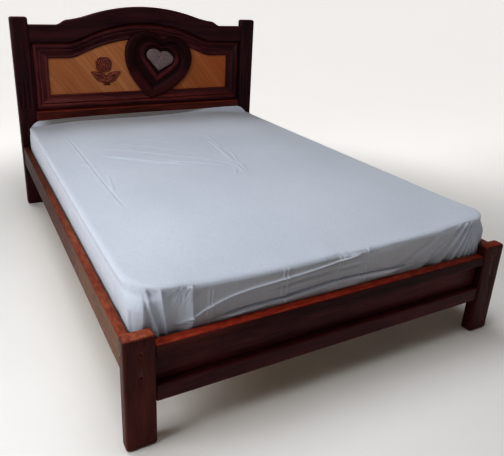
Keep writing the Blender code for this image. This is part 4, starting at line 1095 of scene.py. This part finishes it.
def sheet_folds(sh, p):
    """How far each point of the cloth moves along its outward direction."""
    x, y, z = p.T
    s = sh.s
    hx, hy, yc = sh.HX, sh.HY, sh.YC
    move = np.zeros(len(x))
    side = (sh.below <= 0) & (s > -0.012)
    on_side = smooth((sh.theta - 0.9) / 0.6) * (sh.below <= 0)
    on_top = 1 - smooth((sh.theta - 0.2) / 0.8)
    foot = side & (sh.plan[:, 1] < -0.30) & (y < 0)
    fx, fz = np.where(foot, x, 9.0), np.where(foot, z, 9.0)
    # left corner of the foot: pleats that lap over each other to the right, opening downwards
    c0 = np.full(len(x), -0.6570)
    c1 = follow(z, (0.470, -0.646), (0.440, -0.643), (0.410, -0.638), (0.375, -0.629), (0.331, -0.617))
    c2 = follow(z, (0.470, -0.607), (0.440, -0.605), (0.410, -0.602), (0.375, -0.598), (0.331, -0.594))
    c4 = np.full(len(x), -0.5165)
    pleats = (
        (np.full(len(x), -0.700), c0, 0.0095, 0.452, 0.055, 2.4),
        (c0, c1, 0.0180, 0.462, 0.050, 2.4),
        (c1, c2, 0.0200, 0.472, 0.022, 2.6),
        (c2, c4, 0.0200, 0.472, 0.018, 2.20),
    )
    for a, b, high, start, grow, power in pleats:
        move += high * (tooth(fx, a, b, 0.0042, power) - 0.50 * ((fx > a) & (fx < b))) * smooth((start - z) / grow) * on_side
    gusset = smooth((fx + 0.597) / 0.010) * smooth((-0.519 - fx) / 0.008) * smooth((z - 0.385) / 0.05) * on_side
    slant = np.stack([fx - 0.38 * fz, 0.13 * fz, 0 * fz], 1)
    crinkle = value_noise(slant, 190.0, 5.1, 2) + 0.6 * value_noise(slant, 420.0, 1.7, 1)
    move += 0.0040 * gusset * crinkle
    # the foot: one long lapped fold that rises to the right, a tuck under it, and the hem swelling over the rail
    sweep = through(sh.SWEEP)
    move += (lap(sweep, fx, fz, 0.0034, 0.0022, 0.0088, 0.11) + lap(sweep, fx, fz, 0.030, 0.0022, 0.0030, 0.11)) * on_side
    move += crease(sweep - np.array([0.0, 0.0062]), fx, fz, 0.0040, -0.0026, 0.15) * on_side
    flap = through([(-0.577, 0.3450), (-0.548, 0.3500), (-0.520, 0.3500), (-0.495, 0.3480)])
    move += lap(flap, fx, fz, 0.007, 0.0040, 0.0060, 0.25) * on_side
    lower = through(sh.LOWER)
    below_line = nearest_on(lower, fx, fz)
    along_line = smooth(below_line[1] / 0.1) * smooth((1 - below_line[1]) / 0.1) * on_side
    move += (-0.0090 * ridge(below_line[0] - 0.0010, 0.0034) + 0.0030 * ridge(below_line[0] + 0.0065, 0.0040)) * along_line
    hem = smooth((fx + 0.44) / 0.06) * smooth((0.32 - fx) / 0.10)
    fall = np.interp(fx, lower[:, 0], lower[:, 1])
    move += 0.0115 * hem * np.clip((fall - fz) / (fall - 0.3325), 0, 1.1) ** 0.8 * on_side
    middle = through([(0.180, 0.3780), (0.110, 0.3880), (0.050, 0.3930), (-0.050, 0.3915), (-0.150, 0.3875), (-0.220, 0.3815), (-0.300, 0.3750)])
    move += lap(middle, fx, fz, 0.016, 0.0065, 0.0046, 0.25) * on_side
    move += crease(middle + np.array([0.0, 0.0085]), fx, fz, 0.0050, -0.0030, 0.25) * on_side
    # pressing lines down the foot, in pairs
    for at, high, wide in ((-0.4720, 0.0018, 0.0026), (-0.4620, 0.0020, 0.0026), (-0.3630, 0.0010, 0.0050), (-0.2255, 0.0030, 0.0024), (-0.2115, 0.0032, 0.0024), (-0.0150, 0.0026, 0.0025), (-0.0010, 0.0028, 0.0025), (0.0830, 0.0028, 0.0025), (0.0970, 0.0030, 0.0025)):
        move += (1.0 + 0.5 * smooth((0.41 - fz) / 0.03)) * high * ridge(fx - at - 0.10 * (fz - 0.40), wide) * on_side
    # short puckers where the foot's top edge is pulled
    for at, slant, high in ((-0.075, 0.30, 0.0028), (-0.040, -0.20, 0.0022), (0.008, 0.35, 0.0028), (0.048, 0.20, 0.0026), (0.105, -0.15, 0.0022), (0.150, 0.40, 0.0024), (0.215, 0.30, 0.0020), (0.300, 0.35, 0.0018), (0.390, 0.25, 0.0018)):
        line = [(at - slant * 0.03, 0.470), (at, 0.450), (at + slant * 0.05, 0.428)]
        move += crease(line, fx, fz, 0.0042, 1.35 * high, 0.4)
    # right corner: pleats that fan out from the top of the corner
    turn = np.degrees(np.arctan2(fx - 0.624, 0.535 - fz))
    reach = smooth((np.hypot(fx - 0.624, fz - 0.535) - 0.050) / 0.060)
    fan = (-78.0, -63.0, -49.0, -36.0, -25.0, -16.5, -9.5, -3.5, 2.5, 8.5, 15.0, 22.0)
    for a, b, high in zip(fan[:-1], fan[1:], (0.0070, 0.0140, 0.0235, 0.0250, 0.0230, 0.0205, 0.0180, 0.0160, 0.0130, 0.0095, 0.0050)):
        move += high * (tooth(turn, np.full(len(x), a), np.full(len(x), b), 0.25 * (b - a), 1.5) - 0.45 * ((turn > a) & (turn < b))) * reach * on_side * foot
    move -= 0.0055 * smooth((turn - 3.0) / 9.0) * reach * on_side * foot
    # top: a straight pressing line along the left side, and pull lines that meet near the middle
    tx, ty = np.where(s < 0.0, x, 9.0), y
    move += crease(PRESSED, tx, ty, 0.0042, -0.0019, 0.10) * on_top
    move += crease(np.array(PRESSED) + np.array([-0.009, 0.0]), tx, ty, 0.0055, 0.0010, 0.10) * on_top
    for path, width, high in PULLS:
        move += crease(through(path), tx, ty, 0.92 * width, 1.6 * high, 0.22) * on_top
    for path in RIPPLES:
        move += crease(through(path), tx, ty, 0.0070, 0.0014, 0.3) * on_top
    # the long swell of the filling, and a tape edge felt through the cloth
    swell = value_noise(np.stack([x, y * 0.7, z], 1), 3.0, 3.3, 2)
    ripple = value_noise(np.stack([x, y, z * 0.5], 1), 13.0, 7.1, 3)
    move += 0.0016 * swell * (0.4 + 0.6 * on_top) + 0.0006 * ripple
    move += 0.0016 * ridge(sh.theta - 0.95, 0.45) * (sh.below <= 0) * (s < 0.03)
    move -= 0.0018 * ridge(s - 0.030, 0.010) * (sh.below <= 0)
    # both long sides and the head: soft upright folds, deeper near the corners
    beyond = np.abs(sh.plan[:, 0]) > 0.75
    wave = np.sin(y * 43 + 2.2 * np.sin(y * 9.0)) + 0.6 * np.sin(y * 97 + 1.3 * np.sin(y * 17))
    quiet = 0.25 + 0.75 * smooth((np.abs(y - yc) - 0.62) / 0.25)
    move += np.where(beyond & (y > -0.90), 0.0015 * quiet * wave, 0.0) * smooth((s - 0.02) / 0.12) * on_side
    wave = np.sin(x * 51 + 1.5 * np.sin(x * 11)) + 0.5 * np.sin(x * 117)
    move += np.where((~beyond) & (y > 0.5), 0.0014 * wave, 0.0) * smooth((s - 0.02) / 0.12) * on_side
    return move


sheet.refine(near_wrinkles)
points, normals = sheet.shape()
moves = sheet_folds(sheet, points)
# the sides bow out a little, and stay clear of the rails and posts
bow = 0.0022 * np.sin(np.pi * np.clip(sheet.s / 0.19, 0, 1)) * (sheet.below <= 0)
moves = moves + np.where(sheet.s > 0, bow, 0)
plain = points
over_rail = (np.abs(points[:, 0]) < 0.636) & (sheet.plan[:, 1] < -0.8)
tight = np.where(over_rail, smooth((0.3380 - points[:, 2]) / 0.0045), smooth((0.384 - points[:, 2]) / 0.010))
tight = tight * (sheet.theta > 0.9) * (sheet.below <= 0)
moves = np.minimum(moves, np.where(over_rail, 0.0042, 0.0020) * tight + 0.0300 * (1 - tight))
points = points + normals * moves[:, None]
# under the mattress the hem is drawn in by its elastic, in small even gathers
hem = sheet.below > 0
gather = np.sin(np.where(np.abs(sheet.x) >= sheet.HX - 1e-6, sheet.y, sheet.x) * 210)
points[hem, 2] = 0.2968 + 0.0016 * (gather[hem] * np.minimum(sheet.below[hem] / 0.04, 1))

sheet_ob = new_piece("fitted_sheet_cloth", points, sheet.faces, COTTON, "bedding", "sheet_cotton", "fitted_sheet")
# painted shade: the band along the head is painted a darker taupe, as in the headboard's shadow
mark = sheet_ob.data.attributes.new("band", "FLOAT", "POINT")
head_band_shade = smooth((sheet.y - Sheet.band(sheet.x)) / 0.006 + 0.5) * smooth((sheet.x + 0.660) / 0.10) * smooth((0.50 - sheet.x) / 0.25)
mark.data.foreach_set("value", head_band_shade.astype(np.float32))
# painted shade: the hanging foot, past the left corner's pleats, is painted darker and warmer, as it faces away from
# the light
mark = sheet_ob.data.attributes.new("painted_shade", "FLOAT", "POINT")
wear_and_painted_light = smooth((-0.9760 - points[:, 1]) / 0.006) * smooth((points[:, 0] + 0.530) / 0.02) * smooth((0.60 - points[:, 0]) / 0.16) * smooth((sheet.s - 0.011) / 0.013)
# and painted shade darkens the hollow of the corner's gusset, a little
wear_and_painted_light = np.maximum(wear_and_painted_light, 0.12 * smooth((-0.9660 - points[:, 1]) / 0.008) * smooth((points[:, 0] + 0.602) / 0.010) * smooth((-0.526 - points[:, 0]) / 0.020) * smooth((sheet.s - 0.011) / 0.013))
# and painted shade darkens the top towards the head, as the headboard's shadow
wear_and_painted_light = np.maximum(wear_and_painted_light, 0.38 * smooth((points[:, 1] - 0.38) / 0.42) * (1 - smooth((sheet.s + 0.025) / 0.035)))
# painted highlight: the painted shade is lifted along its folds and pressing lines, so they stay as pale as the top
on_foot = sheet.plan[:, 1] < -0.8
fx, fz = np.where(on_foot, plain[:, 0], 9.0), np.where(on_foot, plain[:, 2], 9.0)
away, place = nearest_on(through(sheet.SWEEP), fx, fz)
wear_and_painted_light *= 1 - 0.75 * ridge(away - 0.0012, 0.0018) * smooth(place / 0.1) * smooth((1 - place) / 0.1)
away, place = nearest_on(through(sheet.LOWER), fx, fz)
wear_and_painted_light *= 1 - 0.45 * ridge(away + 0.0065, 0.0045) * smooth(place / 0.1) * smooth((1 - place) / 0.1)
for at in (-0.4720, -0.4620, -0.2255, -0.2115, -0.0150, -0.0010, 0.0830, 0.0970):
    wear_and_painted_light *= 1 - 0.55 * ridge(fx - at - 0.10 * (fz - 0.40), 0.0016)
mark.data.foreach_set("value", wear_and_painted_light.astype(np.float32))

# ---------------------------------------------------------------- mattress
def filled(points_, faces_, voxel, pressure, cap):
    """The case blown up by its filling, from a smaller shape: its points and faces."""
    case = bpy.data.meshes.new("case")
    case.from_pydata([tuple(v) for v in points_], [], [tuple(int(i) for i in f) for f in faces_])
    case.update()
    ob = bpy.data.objects.new("case", case)
    SCENE.collection.objects.link(ob)
    knit = ob.modifiers.new("knit", "REMESH")
    knit.mode, knit.voxel_size = "VOXEL", voxel
    even = bpy.data.meshes.new_from_object(ob.evaluated_get(bpy.context.evaluated_depsgraph_get()))
    ob.modifiers.clear()
    ob.data = even
    start = np.array([v.co[:] for v in even.vertices])
    cloth = ob.modifiers.new("filling", "CLOTH")
    cloth.settings.quality = 5
    cloth.settings.mass = 0.3
    cloth.settings.use_pressure = True
    cloth.settings.uniform_pressure_force = pressure
    cloth.settings.effector_weights.gravity = 0.0
    cloth.collision_settings.use_collision = False
    cloth.point_cache.frame_start, cloth.point_cache.frame_end = 1, 20
    for frame_ in range(1, 21):
        SCENE.frame_set(frame_)
    blown = ob.evaluated_get(bpy.context.evaluated_depsgraph_get()).to_mesh()
    end = np.array([v.co[:] for v in blown.vertices])
    SCENE.frame_set(1)
    gone = end - start
    far_ = np.maximum(np.linalg.norm(gone, axis=1), 1e-9)
    end = start + gone * (cap * np.tanh(far_ / cap) / far_)[:, None]
    corners_ = [tuple(f.vertices) for f in even.polygons]
    bpy.data.objects.remove(ob)
    return end, corners_


body = Sheet(110, 150, 14, 3, False)
mp, mn = body.shape()
mp = mp - mn * np.where(np.abs(mn[:, 2:]) > 0.9, 0.017, 0.024)
mp[:, 2] = np.where(body.below > 0, 0.3030, np.maximum(mp[:, 2], 0.3030))
rim = list(body.edge_row)
mp, mattress_faces = filled(mp, list(body.faces) + [tuple(reversed([int(v) for v in rim]))], 0.018, 4.0, 0.009)
mattress_ob = new_piece("mattress_pad", mp, mattress_faces, TICKING, "bedding", "mattress_ticking", "mattress", "mattress_base")
# one subdivision, then flat where it lies on the slats, with the quilting sewn in there
bm = bmesh.new()
bm.from_mesh(mattress_ob.data)
bmesh.ops.subdivide_edges(bm, edges=bm.edges[:], cuts=1, use_grid_fill=True, smooth=0.6)
bm.to_mesh(mattress_ob.data)
bm.free()
mp = np.array([v.co[:] for v in mattress_ob.data.vertices])
under = mp[:, 2] < 0.3060
sewn = np.zeros(len(mp))
for turn in (1, -1):
    across = (mp[:, 0] + turn * mp[:, 1]) / math.sqrt(2)
    sewn = np.maximum(sewn, ridge((across + 0.065) % 0.13 - 0.065, 0.010))
sewn *= smooth((0.63 - np.abs(mp[:, 0])) / 0.02) * smooth((0.90 - np.abs(mp[:, 1] - body.YC)) / 0.02)
mp[:, 2] = np.where(under, 0.3005 + 0.0045 * sewn, np.maximum(mp[:, 2], 0.3005))
mattress_ob.data.vertices.foreach_set("co", mp.astype(np.float32).ravel())
mattress_ob.data.update()
mattress_ob.data.shade_smooth()
